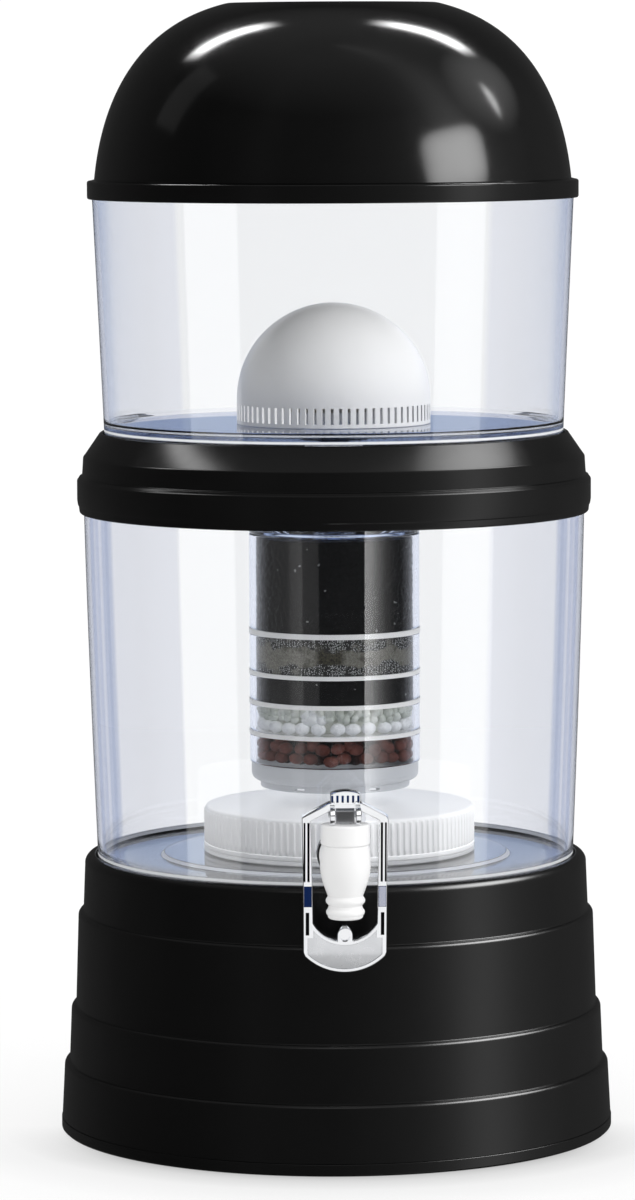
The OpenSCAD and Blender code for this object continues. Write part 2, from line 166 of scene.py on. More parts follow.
def merge(parts):
    verts, faces = [], []
    for v, f in parts:
        o = len(verts)
        verts += list(v)
        faces += [tuple(i + o for i in q) for q in f]
    return verts, faces


def box_data(x0, x1, y0, y1, z0, z1):
    v = [(x, y, z) for z in (z0, z1) for y in (y0, y1) for x in (x0, x1)]
    f = [(0, 2, 3, 1), (4, 5, 7, 6), (0, 1, 5, 4), (1, 3, 7, 5), (3, 2, 6, 7), (2, 0, 4, 6)]
    return v, f


def moved(data, m):
    v, f = data
    return [tuple(m @ Vector(p)) for p in v], f


def bevelled(ob, width, segments=2, limit=30):
    """Bevels the sharp edges of ob in its mesh; width in millimetres."""
    m = ob.modifiers.new("b", "BEVEL")
    m.width = width * MM
    m.segments = segments
    m.limit_method = "ANGLE"
    m.angle_limit = math.radians(limit)
    m.harden_normals = False
    bake_modifiers(ob)
    return ob


def bake_modifiers(ob):
    dg = bpy.context.evaluated_depsgraph_get()
    dg.update()
    me = bpy.data.meshes.new_from_object(ob.evaluated_get(dg))
    old = ob.data
    ob.modifiers.clear()
    ob.data = me
    me.name = old.name
    finish_mesh(me)
    return ob


def cut(ob, cutter, op="DIFFERENCE"):
    m = ob.modifiers.new("cut", "BOOLEAN")
    m.operation = op
    m.object = cutter
    m.solver = "EXACT"
    bake_modifiers(ob)
    bpy.data.objects.remove(cutter)
    return ob


def plate(name, outline, holes, z0, z1, bevel=0.4, res=2):
    """A flat piece drawn by closed outlines in millimetres, with rounded edges."""
    cu = bpy.data.curves.new(name, "CURVE")
    cu.dimensions = "2D"
    cu.fill_mode = "BOTH"
    for pts in [outline] + list(holes):
        sp = cu.splines.new("POLY")
        sp.points.add(len(pts) - 1)
        for q, (x, y) in zip(sp.points, pts):
            q.co = (x * MM, y * MM, 0, 1)
        sp.use_cyclic_u = True
    half = (z1 - z0) / 2
    cu.extrude = (half - bevel) * MM
    cu.bevel_depth = bevel * MM
    cu.bevel_resolution = res
    cu.offset = -bevel * MM
    tmp = bpy.data.objects.new(name + "_c", cu)
    SCENE.collection.objects.link(tmp)
    dg = bpy.context.evaluated_depsgraph_get()
    dg.update()
    me = bpy.data.meshes.new_from_object(tmp.evaluated_get(dg))
    bpy.data.objects.remove(tmp)
    me.transform(Matrix.Translation((0, 0, (z0 + z1) / 2 * MM)))
    bm = bmesh.new()
    bm.from_mesh(me)
    bmesh.ops.remove_doubles(bm, verts=bm.verts, dist=2e-6)
    bmesh.ops.recalc_face_normals(bm, faces=bm.faces)
    bm.to_mesh(me)
    bm.free()
    me.materials.clear()
    finish_mesh(me, 32)
    ob = bpy.data.objects.new(name, me)
    SCENE.collection.objects.link(ob)
    return ob


def joined(name, obs, angle=40):
    """One object from several at the origin; the others are removed."""
    bm = bmesh.new()
    for o in obs:
        me = o.data.copy()
        me.transform(o.matrix_world)
        bm.from_mesh(me)
        bpy.data.meshes.remove(me)
    me = bpy.data.meshes.new(name)
    bm.to_mesh(me)
    bm.free()
    me.materials.clear()
    for o in obs:
        bpy.data.objects.remove(o)
    finish_mesh(me, angle)
    ob = bpy.data.objects.new(name, me)
    SCENE.collection.objects.link(ob)
    return ob


def ball_data(c, r, sub=2, squash=None, rot=None):
    bm = bmesh.new()
    bmesh.ops.create_icosphere(bm, subdivisions=sub, radius=r)
    m = Matrix.Translation(Vector(c))
    if rot is not None:
        m = m @ rot
    if squash is not None:
        m = m @ Matrix.Diagonal((squash[0], squash[1], squash[2], 1))
    bm.transform(m)
    bm.verts.ensure_lookup_table()
    v = [tuple(p.co) for p in bm.verts]
    f = [tuple(q.index for q in face.verts) for face in bm.faces]
    bm.free()
    return v, f


# ---------------------------------------------------------------- materials

class Nodes:
    def __init__(self, name):
        self.m = bpy.data.materials.new(name)
        self.m.use_nodes = True
        self.t = self.m.node_tree
        self.t.nodes.clear()
        self.out = self.t.nodes.new("ShaderNodeOutputMaterial")
        self.coord = self.t.nodes.new("ShaderNodeTexCoord").outputs["Object"]

    def new(self, kind, **inputs):
        n = self.t.nodes.new(kind)
        for k, v in inputs.items():
            key = k.replace("_", " ")
            s = n.inputs.get(key) or n.inputs.get(k)
            if hasattr(v, "is_linked"):
                self.t.links.new(v, s)
            else:
                s.default_value = v
        return n

    def link(self, a, b):
        self.t.links.new(a, b)

    def noise(self, scale, detail=3.0, rough=0.55, coord=None, distort=0.0):
        n = self.new("ShaderNodeTexNoise", Scale=scale, Detail=detail, Roughness=rough, Distortion=distort)
        self.link(coord or self.coord, n.inputs["Vector"])
        return n.outputs["Fac"]

    def voronoi(self, scale, out="Distance", feature="F1", rand=1.0, coord=None):
        n = self.new("ShaderNodeTexVoronoi", Scale=scale, Randomness=rand)
        n.feature = feature
        self.link(coord or self.coord, n.inputs["Vector"])
        return n.outputs[out]

    def span(self, value, a, b, c, d):
        n = self.new("ShaderNodeMapRange", Value=value)
        n.inputs["From Min"].default_value = a
        n.inputs["From Max"].default_value = b
        n.inputs["To Min"].default_value = c
        n.inputs["To Max"].default_value = d
        return n.outputs["Result"]

    def ramp(self, value, stops, mode="LINEAR"):
        n = self.t.nodes.new("ShaderNodeValToRGB")
        n.color_ramp.interpolation = mode
        e = n.color_ramp.elements
        while len(e) < len(stops):
            e.new(0.5)
        for i, (p, c) in enumerate(stops):
            e[i].position = p
            e[i].color = (c[0], c[1], c[2], 1)
        self.link(value, n.inputs["Fac"])
        return n.outputs["Color"]

    def mix(self, fac, a, b, blend="MIX"):
        n = self.t.nodes.new("ShaderNodeMix")
        n.data_type = "RGBA"
        n.blend_type = blend
        for sock, v in ((n.inputs[0], fac), (n.inputs[6], a), (n.inputs[7], b)):
            if hasattr(v, "is_linked"):
                self.link(v, sock)
            elif isinstance(v, (int, float)):
                sock.default_value = v
            else:
                sock.default_value = (v[0], v[1], v[2], 1)
        return n.outputs[2]

    def math(self, op, a, b=0.0):
        n = self.t.nodes.new("ShaderNodeMath")
        n.operation = op
        for sock, v in ((n.inputs[0], a), (n.inputs[1], b)):
            if hasattr(v, "is_linked"):
                self.link(v, sock)
            else:
                sock.default_value = v
        return n.outputs[0]

    def bump(self, height, strength, distance, normal=None):
        n = self.new("ShaderNodeBump", Height=height, Strength=strength, Distance=distance)
        if normal is not None:
            self.link(normal, n.inputs["Normal"])
        return n.outputs["Normal"]

    def shader(self, color, rough, metal=0.0, spec=0.5, normal=None, ior=1.5, trans=0.0, coat=0.0,
               coat_rough=0.05, sss=0.0, alpha=1.0):
        p = self.t.nodes.new("ShaderNodeBsdfPrincipled")
        for key, v in (("Base Color", color), ("Roughness", rough), ("Metallic", metal)):
            s = p.inputs[key]
            if hasattr(v, "is_linked"):
                self.link(v, s)
            elif key == "Base Color":
                s.default_value = (v[0], v[1], v[2], 1)
            else:
                s.default_value = v
        p.inputs["Specular IOR Level"].default_value = spec
        p.inputs["IOR"].default_value = ior
        p.inputs["Transmission Weight"].default_value = trans
        p.inputs["Coat Weight"].default_value = coat
        p.inputs["Coat Roughness"].default_value = coat_rough
        if sss:
            p.inputs["Subsurface Weight"].default_value = sss
            p.inputs["Subsurface Radius"].default_value = (0.004, 0.003, 0.0025)
            p.inputs["Subsurface Scale"].default_value = 0.5
        if normal is not None:
            self.link(normal, p.inputs["Normal"])
        return p.outputs["BSDF"]

    def done(self, surface):
        self.link(surface, self.out.inputs["Surface"])
        return self.m


def tone(c, k):
    return tuple(min(1.0, x * k) for x in c)


def moulded(name, base, rough, spec=0.5, var=0.06, rvar=0.04, grain=1800.0, grain_mm=0.012,
            wave=22.0, wave_mm=0.05, metal=0.0, sss=0.0, coat=0.0, ior=1.5, scuff=0.0):
    """Moulded plastic or plain metal: mottled colour, a smudged gloss, fine grain and faint sink waviness."""
    n = Nodes(name)
    mott = n.noise(35.0, 4.0)
    color = n.mix(mott, tone(base, 1 - var), tone(base, 1 + var))
    smudge = n.noise(55.0, 5.0, 0.6, distort=0.6)
    r = n.span(smudge, 0.3, 0.75, max(0.0, rough - rvar), rough + rvar)
    if scuff:
        s = n.noise(260.0, 2.0, 0.7)
        edge = n.span(s, 0.62, 0.75, 0.0, scuff)
        r = n.math("ADD", r, edge)
    fine = n.bump(n.noise(grain, 2.0), 0.35, grain_mm * MM)
    soft = n.bump(n.noise(wave, 2.0), 0.35, wave_mm * MM, fine)
    return n.done(n.shader(color, r, metal, spec, soft, ior=ior, sss=sss, coat=coat))


def clear(name, tint, stops, rough=0.0, wave_mm=0.03, ior=1.47, hue_scale=9.0, shadow=(0.95, 0.96, 0.985),
          painted_highlight_band=None):
    """Clear plastic. Its body colour drifts slightly and, by the viewing angle, turns lavender with blue lines towards
    the edges, where the wall is seen on end: partly the tint of the longer path through the wall, partly painted
    reflection and refraction;
    its faces are faintly wavy, and lamps shine through it. The optional band of heights, in millimetres, is made matt
    and pale: a painted highlight along the wall's foot."""
    n = Nodes(name)
    drift = n.noise(hue_scale, 2.0)
    lw = n.t.nodes.new("ShaderNodeLayerWeight")
    lw.inputs["Blend"].default_value = 0.5
    # painted reflection: the colour follows the viewing angle, lavender with blue lines towards the edges
    edge_tint_and_reflection = n.ramp(lw.outputs["Facing"], stops)
    color = n.mix(1.0, n.mix(n.span(drift, 0.35, 0.65, 0.0, 1.0), tint, tone(tint, 0.992)), edge_tint_and_reflection, "MULTIPLY")
    nor = n.bump(n.noise(30.0, 1.0), 0.3, wave_mm * MM)
    body = n.shader(color, rough, 0.0, 0.5, nor, ior=ior, trans=1.0)
    # painted highlight: a pale matt band of heights round the wall's foot
    if painted_highlight_band:
        sep = n.t.nodes.new("ShaderNodeSeparateXYZ")
        n.link(n.coord, sep.inputs[0])
        lo = n.span(sep.outputs["Z"], (painted_highlight_band[0] - 0.15) * MM, painted_highlight_band[0] * MM, 0.0, 1.0)
        hi = n.span(sep.outputs["Z"], painted_highlight_band[1] * MM, (painted_highlight_band[1] + 0.25) * MM, 1.0, 0.0)
        highlight_matt = n.shader((0.93, 0.95, 0.98), n.span(drift, 0.3, 0.7, 0.35, 0.5), 0.0, 0.4)
        band = n.t.nodes.new("ShaderNodeMixShader")
        n.link(n.math("MULTIPLY", lo, hi), band.inputs[0])
        n.link(body, band.inputs[1])
        n.link(highlight_matt, band.inputs[2])
        body = band.outputs[0]
    thru = n.t.nodes.new("ShaderNodeBsdfTransparent")
    thru.inputs["Color"].default_value = (*shadow, 1)
    lp = n.t.nodes.new("ShaderNodeLightPath")
    mx = n.t.nodes.new("ShaderNodeMixShader")
    n.link(lp.outputs["Is Shadow Ray"], mx.inputs[0])
    n.link(body, mx.inputs[1])
    n.link(thru.outputs[0], mx.inputs[2])
    return n.done(mx.outputs[0])


# Colours by viewing angle, from facing to grazing: the lavender bands and blue lines are painted reflection and
# refraction at the clear walls' edges.
WHITE, LAV, LINE = (1.0, 1.0, 1.0), (0.89, 0.90, 0.948), (0.44, 0.50, 0.68)
WALL_LOWER = [(0.0, WHITE), (0.222, WHITE), (0.236, LAV), (0.575, (0.89, 0.90, 0.945)), (0.605, LINE), (0.635, LINE),
              (0.665, (0.92, 0.93, 0.965)), (0.72, (0.92, 0.93, 0.965)), (0.745, (0.50, 0.56, 0.74)),
              (0.78, (0.54, 0.60, 0.77)), (0.82, (0.92, 0.94, 0.98)), (1.0, (0.86, 0.90, 0.97))]
WALL_UPPER = [(0.0, WHITE), (0.245, WHITE), (0.262, LAV), (0.66, (0.90, 0.91, 0.95)), (0.72, (0.78, 0.82, 0.91)),
              (0.77, (0.72, 0.77, 0.88)), (0.83, (0.82, 0.86, 0.94)), (1.0, (0.84, 0.88, 0.96))]
PLAIN = [(0.0, WHITE), (0.6, (0.93, 0.94, 0.97)), (0.85, (0.74, 0.79, 0.89)), (1.0, (0.80, 0.85, 0.95))]


def mat_black_gloss():
    n = Nodes("black_gloss")
    mott = n.noise(28.0, 3.0)
    color = n.mix(mott, (0.0016, 0.0016, 0.0016), (0.0028, 0.0028, 0.0028))
    smudge = n.noise(42.0, 5.0, 0.62, distort=0.8)
    r = n.span(smudge, 0.35, 0.8, 0.09, 0.15)
    dust = n.span(n.voronoi(620.0), 0.0, 0.06, 0.12, 0.0)
    r = n.math("ADD", r, n.math("MULTIPLY", dust, n.span(n.noise(11.0), 0.5, 0.7, 0.0, 1.0)))
    nor = n.bump(n.noise(16.0, 1.5), 0.25, 0.03 * MM)
    return n.done(n.shader(color, r, 0.0, 0.5, nor, ior=1.5))


def mat_ring():
    n = Nodes("ring_gloss")
    color = n.mix(n.noise(28.0, 3.0), (0.0016, 0.0016, 0.0016), (0.0028, 0.0028, 0.0028))
    smudge = n.noise(42.0, 5.0, 0.62, distort=0.8)
    r = n.span(smudge, 0.35, 0.8, 0.17, 0.23)
    nor = n.bump(n.noise(1300.0, 2.0), 0.3, 0.008 * MM)
    return n.done(n.shader(color, r, 0.0, 0.5, nor, ior=1.5))


def mat_base():
    n = Nodes("base_plastic")
    mott = n.noise(30.0, 4.0)
    color = n.mix(mott, (0.0018, 0.0018, 0.0018), (0.0030, 0.0030, 0.0030))
    smudge = n.noise(38.0, 5.0, 0.62, distort=0.5)
    r = n.span(smudge, 0.3, 0.75, 0.19, 0.25)
    g = n.noise(1500.0, 2.0)
    nor = n.bump(g, 0.4, 0.012 * MM)
    nor = n.bump(n.noise(14.0, 1.5), 0.3, 0.05 * MM, nor)
    return n.done(n.shader(color, r, 0.0, 0.5, nor, ior=1.5))


def mat_grains(name, stops, scale, rough=0.75, bump=0.25, spec=0.3, fine=0.3, extra=None):
    """A bed of small grains, each cell with its own colour from stops."""
    n = Nodes(name)
    cell = n.t.nodes.new("ShaderNodeTexVoronoi")
    cell.inputs["Scale"].default_value = scale
    n.link(n.coord, cell.inputs["Vector"])
    sep = n.t.nodes.new("ShaderNodeSeparateColor")
    n.link(cell.outputs["Color"], sep.inputs[0])
    color = n.ramp(sep.outputs[0], stops, "CONSTANT")
    color = n.mix(n.noise(scale * 2.2, 3.0), n.mix(1.0, color, (0.72, 0.72, 0.72), "MULTIPLY"), color)
    d = n.span(cell.outputs["Distance"], 0.0, 0.7, 1.0, 0.0)
    nor = n.bump(d, fine, bump * MM)
    r = n.span(sep.outputs[1], 0.0, 1.0, rough - 0.15, min(1.0, rough + 0.15))
    return n.done(n.shader(color, r, 0.0, spec, nor))


def mat_ceramic_ball(name, a, b, rough, scale=260.0, spec=0.4, ior=1.5, pit=0.05, painted_shade_core=None):
    n = Nodes(name)
    big = n.noise(120.0, 2.0)
    small = n.noise(scale * 4, 4.0, 0.65)
    color = n.mix(n.span(big, 0.35, 0.65, 0.0, 1.0), a, b)
    color = n.mix(n.span(small, 0.45, 0.75, 0.0, 0.55), color, tone(a, 0.55))
    # painted shade: inside the given radius about the axis the colour fades to near black, where the inner balls lie in
    # shadow
    if painted_shade_core:
        flat = n.t.nodes.new("ShaderNodeVectorMath")
        flat.operation = "MULTIPLY"
        n.link(n.coord, flat.inputs[0])
        flat.inputs[1].default_value = (1.0, 1.0, 0.0)
        ln = n.t.nodes.new("ShaderNodeVectorMath")
        ln.operation = "LENGTH"
        n.link(flat.outputs[0], ln.inputs[0])
        color = n.mix(n.span(ln.outputs["Value"], painted_shade_core * MM, (painted_shade_core + 4.5) * MM, 0.02, 1.0), tone(a, 0.02), color)
    nor = n.bump(n.noise(scale * 5, 3.0), 0.5, pit * MM)
    r = n.span(small, 0.3, 0.7, rough - 0.08, rough + 0.08)
    return n.done(n.shader(color, r, 0.0, spec, nor, ior=ior))


def mat_pebble():
    """Translucent silica pebbles, with two white ceramic balls lying among them."""
    n = Nodes("silica")
    big = n.noise(95.0, 3.0)
    color = n.ramp(big, [(0.32, (0.50, 0.53, 0.48)), (0.5, (0.66, 0.69, 0.64)), (0.66, (0.80, 0.82, 0.77))])
    near = None
    for c, k in (((-13.2, -34.6, 211.6), 5.2), ((-7.6, -36.2, 211.2), 3.4)):
        off = n.t.nodes.new("ShaderNodeVectorMath")
        off.operation = "DISTANCE"
        n.link(n.coord, off.inputs[0])
        off.inputs[1].default_value = tuple(v * MM for v in c)
        hit = n.span(off.outputs["Value"], k * MM, (k + 0.3) * MM, 1.0, 0.0)
        near = hit if near is None else n.math("MAXIMUM", near, hit)
    color = n.mix(near, color, (0.80, 0.82, 0.82))
    r = n.span(n.noise(420.0, 3.0), 0.3, 0.7, 0.30, 0.45)
    nor = n.bump(n.noise(300.0, 3.0), 0.3, 0.05 * MM)
    return n.done(n.shader(color, r, 0.0, 0.4, nor, ior=1.46))


def mat_sand():
    """Fine mineral sand: pale and dotted along its top and bottom, darker in the middle."""
    n = Nodes("mineral_sand")
    sep = n.t.nodes.new("ShaderNodeSeparateXYZ")
    n.link(n.coord, sep.inputs[0])
    t = n.span(sep.outputs["Z"], 234.7 * MM, 252.7 * MM, 0.0, 1.0)
    wave = n.noise(58.0, 3.0, 0.6)
    t2 = n.math("ADD", t, n.math("MULTIPLY", n.math("SUBTRACT", wave, 0.5), 0.9))
    top = n.span(t2, 0.66, 0.72, 0.0, 1.0)
    low = n.span(t2, 0.22, 0.28, 1.0, 0.0)
    band = n.math("MAXIMUM", top, low)
    grain = n.noise(900.0, 3.0, 0.7)
    soft = n.noise(75.0, 3.0, 0.55)
    sand = n.mix(n.span(grain, 0.3, 0.7, 0.0, 1.0), (0.14, 0.132, 0.105), (0.32, 0.31, 0.265))
    sand = n.mix(n.span(soft, 0.52, 0.64, 0.0, 0.85), sand, n.mix(grain, (0.012, 0.011, 0.008), (0.10, 0.09, 0.06)))
    patch = n.span(n.math("ABSOLUTE", n.math("ADD", sep.outputs["X"], 3.6 * MM)), 5.0 * MM, 8.5 * MM, 1.0, 0.0)
    front = n.span(sep.outputs["Y"], -30 * MM, -34 * MM, 0.0, 1.0)
    sand = n.mix(n.math("MULTIPLY", n.math("MULTIPLY", patch, front), 0.9), sand,
                 n.mix(n.span(grain, 0.35, 0.75, 0.0, 1.0), (0.008, 0.007, 0.005), (0.12, 0.105, 0.06)))
    d = n.voronoi(1250.0, rand=0.55)
    dots = n.mix(n.span(d, 0.28, 0.40, 0.0, 1.0), (0.62, 0.63, 0.61), (0.035, 0.035, 0.032))
    color = n.mix(n.math("MULTIPLY", band, n.span(n.noise(120.0, 2.0), 0.34, 0.44, 0.3, 1.0)), sand, dots)
    nor = n.bump(grain, 0.5, 0.12 * MM)
    return n.done(n.shader(color, n.span(grain, 0.2, 0.8, 0.6, 0.85), 0.0, 0.25, nor))


def mat_chrome(name, base, rough, rvar, brushed=0.0, groove_shade=False):
    n = Nodes(name)
    smudge = n.noise(160.0, 4.0, 0.6, distort=0.4)
    r = n.span(smudge, 0.3, 0.75, max(0.01, rough - rvar), rough + rvar)
    color = n.mix(n.noise(90.0, 3.0), tone(base, 0.93), tone(base, 1.04))
    nor = n.bump(n.noise(900.0, 2.0), 0.25, 0.004 * MM)
    if groove_shade:
        # painted shade: near black in the grooves of the lever's bars, tinted dark blue in the grooves of the thumb
        # grip
        sep = n.t.nodes.new("ShaderNodeSeparateXYZ")
        n.link(n.coord, sep.inputs[0])
        x = n.math("ABSOLUTE", sep.outputs["X"])
        y = n.math("ADD", sep.outputs["Y"], 0.168)
        z = n.math("SUBTRACT", sep.outputs["Z"], 0.182)
        depth = n.math("ADD", n.math("MULTIPLY", y, -0.9816), n.math("MULTIPLY", z, -0.1908))
        along = n.math("ADD", n.math("MULTIPLY", y, -0.1908), n.math("MULTIPLY", z, 0.9816))
        below = n.math("LESS_THAN", depth, 0.00235)
        above = n.math("GREATER_THAN", depth, 0.0004)
        col = n.math("MULTIPLY", n.math("GREATER_THAN", x, 0.0168), n.math("LESS_THAN", x, 0.02005))
        rng = n.math("MULTIPLY", n.math("LESS_THAN", along, -0.0030), n.math("GREATER_THAN", along, -0.0606))
        slot_shade = n.math("MULTIPLY", n.math("MULTIPLY", below, above), n.math("MULTIPLY", col, rng))
        grip_shade = n.math("MULTIPLY", n.math("MULTIPLY", n.math("GREATER_THAN", along, 0.0062),
                                         n.math("LESS_THAN", depth, 0.00215)),
                      n.math("MULTIPLY", above, n.math("LESS_THAN", along, 0.0106)))
        grip_shade = n.math("MULTIPLY", grip_shade, n.math("LESS_THAN", x, 0.0074))
        color = n.mix(slot_shade, color, (0.004, 0.004, 0.005))
        color = n.mix(grip_shade, color, (0.010, 0.030, 0.110))
        r = n.math("ADD", r, n.math("MULTIPLY", n.math("MAXIMUM", slot_shade, grip_shade), 0.3))
    if brushed:
        st = n.t.nodes.new("ShaderNodeMapping")
        st.inputs["Scale"].default_value = (60.0, 2500.0, 2500.0)
        n.link(n.coord, st.inputs["Vector"])
        nor = n.bump(n.noise(1.0, 2.0, coord=st.outputs[0]), brushed, 0.01 * MM, nor)
    return n.done(n.shader(color, r, 1.0, 0.5, nor))


M = {
    "black_gloss": mat_black_gloss(),
    "base_plastic": mat_base(),
    # the height bands given to the clear walls and floor are painted highlights along their feet
    "clear_tank": clear("clear_tank", (0.985, 0.991, 1.0), WALL_LOWER, painted_highlight_band=(140.55, 141.8)),
    "upper_wall": clear("upper_wall", (0.985, 0.991, 1.0), WALL_UPPER, painted_highlight_band=(355.9, 356.9)),
    "tank_floor": clear("tank_floor", (0.935, 0.95, 0.98), [(0.0, WHITE), (0.8, WHITE), (1.0, (0.95, 0.96, 0.98))],
                        painted_highlight_band=(139.75, 141.15)),
    "upper_floor": clear("upper_floor", (0.34, 0.44, 0.72), PLAIN),
    "tinted_clear": clear("tinted_clear", (0.66, 0.74, 0.90), PLAIN),
    "clear_shell": clear("clear_shell", (0.975, 0.98, 0.99), PLAIN, wave_mm=0.02, ior=1.36),
    "ring_gloss": mat_ring(),
    "white_tap": moulded("white_tap", (0.80, 0.80, 0.80), 0.32, 0.45, var=0.015, rvar=0.05),
    "white_plastic": moulded("white_plastic", (0.90, 0.90, 0.90), 0.38, 0.4, var=0.02, sss=0.0),
    "white_satin": moulded("white_satin", (0.70, 0.70, 0.70), 0.34, 0.45, var=0.02, rvar=0.05),
    "grey_plastic": moulded("grey_plastic", (0.47, 0.485, 0.51), 0.36, 0.4, var=0.04),
    "cream_ceramic": mat_ceramic_ball("cream_ceramic", (0.78, 0.74, 0.66), (0.82, 0.79, 0.72), 0.8, 120.0, 0.2),
    "white_ceramic": mat_ceramic_ball("white_ceramic", (0.86, 0.88, 0.89), (0.92, 0.93, 0.93), 0.42, 200.0, 0.45),
    # red balls: painted shade within 31 mm of the axis
    "red_ceramic": mat_ceramic_ball("red_ceramic", (0.120, 0.030, 0.020), (0.215, 0.062, 0.042), 0.55, 260.0, 0.35, painted_shade_core=31.0),
    # carbon: the rare pale grey cells are painted glints on the grains
    "carbon": mat_grains("carbon", [(0.0, (0.0014, 0.0014, 0.0015)), (0.5, (0.0026, 0.0026, 0.0027)),
                                    (0.9, (0.005, 0.005, 0.005)), (0.996, (0.30, 0.31, 0.30))], 900.0, 0.5, 0.15, 0.2, 0.5),
    "mineral_sand": mat_sand(),
    "silica": mat_pebble(),
    "mineral_stone": mat_ceramic_ball("mineral_stone", (0.50, 0.44, 0.37), (0.66, 0.60, 0.52), 0.7, 90.0, 0.3),
    "grey_rubber": moulded("grey_rubber", (0.06, 0.06, 0.063), 0.62, 0.3, var=0.1, grain=2600, grain_mm=0.03),
    "steel": mat_chrome("steel", (0.62, 0.63, 0.65), 0.22, 0.06),
    # chrome: with painted shade in the lever's grooves
    "chrome": mat_chrome("chrome", (0.84, 0.85, 0.87), 0.09, 0.05, groove_shade=True),
    "satin_silver": mat_chrome("satin_silver", (0.66, 0.67, 0.69), 0.30, 0.06, brushed=0.3),
    "blue_plastic": moulded("blue_plastic", (0.0006, 0.014, 0.082), 0.16, 0.5, var=0.15, ior=1.5),
}
PIECES = {}


def piece(ob, body, mat, *nodes):
    """ob is a finished piece: it rides on body, has a material and stands for CAD nodes."""
    ob.data.materials.clear()
    ob.data.materials.append(M[mat])
    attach(ob, body)
    if nodes:
        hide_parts(*nodes)
    PIECES[ob.name] = ob
    return ob


def keep_cad(node, mat):
    ob = NODES[node]
    if not ob.data.materials:
        ob.data.materials.append(M[mat])
    for i in range(len(ob.data.materials)):
        ob.data.materials[i] = M[mat]
    PIECES[node] = ob


# ---------------------------------------------------------------- base

def make_base():
    w = 3.0
    foot = soften([(126, 0), (139.4, 0), (140.5, 1.0), (140.5, 6), (136.7, 6), (136.7, 12), (134.4, 12),
                   (134.4, 6), (126, 6)], 0.35, 3)
    piece(spin("foot_ring_v", foot, 240), "base", "base_plastic", "foot_ring")

    prof = ([(140.2, 6), (138.8, 32.3)] + arc(136.2, 32.3, 2.6, 6, 82, 14)
            + [(136.2, 35.0), (135.1, 61.1)] + arc(132.5, 61.1, 2.6, 6, 82, 14)
            + [(132.7, 64.0), (131.2, 109.1)] + arc(128.6, 109.1, 2.6, 6, 82, 14)
            + [(128.6, 112.0), (127.6, 135.8)] + arc(122.7, 135.7, 4.95, 6, 84, 18)
            + [(122.6, 140.7), (122.2, 140.2), (122.2, 128), (100.2, 128), (98, 126.5), (98, 118),
               (100.2, 118), (100.2, 125), (128.4 - w, 125), (128.4 - w, 111.5), (131.0 - w, 108.5),
               (132.6 - w, 62.7), (134.9 - w, 59.7), (136.0 - w, 33.5), (138.6 - w, 30.5), (140.2 - w, 6)])
    stand = spin_data(soften(prof, 0.45, 4), 240)
    parts = [stand]
    for i in range(12):
        m = Matrix.Rotation(math.radians(i * 30 + 15), 4, "Z")
        parts.append(moved(box_data(99, 126.2, -1.25, 1.25, 100, 125.2), m))
    v, f = merge(parts)
    piece(obj_from("base_stand_v", v, f), "base", "base_plastic", "base_stand", "base_shelf", "base_gussets")


# ---------------------------------------------------------------- tanks

def lt_r(z):
    return 120.5 + 6.4 * (1 - (1 - min(1.0, (z - 128) / 200)) ** 1.25)


def ut_r(z):
    return 115.2 + 6.4 * ((z - 331) / 147) ** 1.05


def make_tanks():
    w = 2.5
    n = 44
    outer = [(lt_r(128 + 200 * i / n), 128 + 200 * i / n) for i in range(n + 1)]
    inner = [(lt_r(z) - w, z) for z in [328 - 183 * i / 40 for i in range(41)]]
    rf = lt_r(140.4) - w - 1
    prof = outer + inner + [(lt_r(140.4) - w - 0.1, 142.0), (rf, 139.5), (rf, 136.5), (lt_r(134) - w, 136.5),
                            (lt_r(128) - w, 128)]
    tank = spin("lower_tank_v", soften(prof, 0.6, 4), 240)
    floor = soften([(0, 141.5), (0, 138.5), (87, 138.5), (89, 136.5), (rf, 136.5), (rf, 139.5), (89, 139.5),
                    (87, 141.5)], 0.9, 6, {4: 0.05, 5: 0.05})
    piece(spin("lower_tank_floor_v", floor, 240), "lower_tank", "tank_floor", "lower_tank_floor")
    pad = obj_from("pad_tmp", *along_y(spin_data(soften([(0, 0), (12.4, 0), (12.4, 6.2), (0, 6.2)], 0.4, 3), 96),
                                       -123.2, 156))
    cut(tank, pad, "UNION")
    hole = obj_from("hole_tmp", *along_y(spin_data([(0, 0), (8, 0), (8, 20), (0, 20)], 64), -130, 156))
    cut(tank, hole)
    piece(tank, "lower_tank", "clear_tank", "lower_tank")

    n = 32
    outer = [(ut_r(331 + 147 * i / n), 331 + 147 * i / n) for i in range(n + 1)]
    inner = [(ut_r(z) - w, z) for z in [478 - 115.5 * i / 26 for i in range(27)]]
    rf = ut_r(361) - w - 2
    prof = outer + inner + [(ut_r(361) - w, 361.2), (rf, 359), (rf, 356), (ut_r(350) - w, 356), (ut_r(331) - w, 331)]
    prof = soften(prof, 0.7, 5)
    piece(spin("upper_tank_v", prof, 240), "upper_tank", "upper_wall", "upper_tank")
    floor = soften([(rf, 359), (8.3, 359), (8.3, 356), (rf, 356)], 0.3, 3, {0: 0.05, 3: 0.05})
    piece(spin("upper_tank_floor_v", floor, 240), "upper_tank", "upper_floor", "upper_tank_floor")


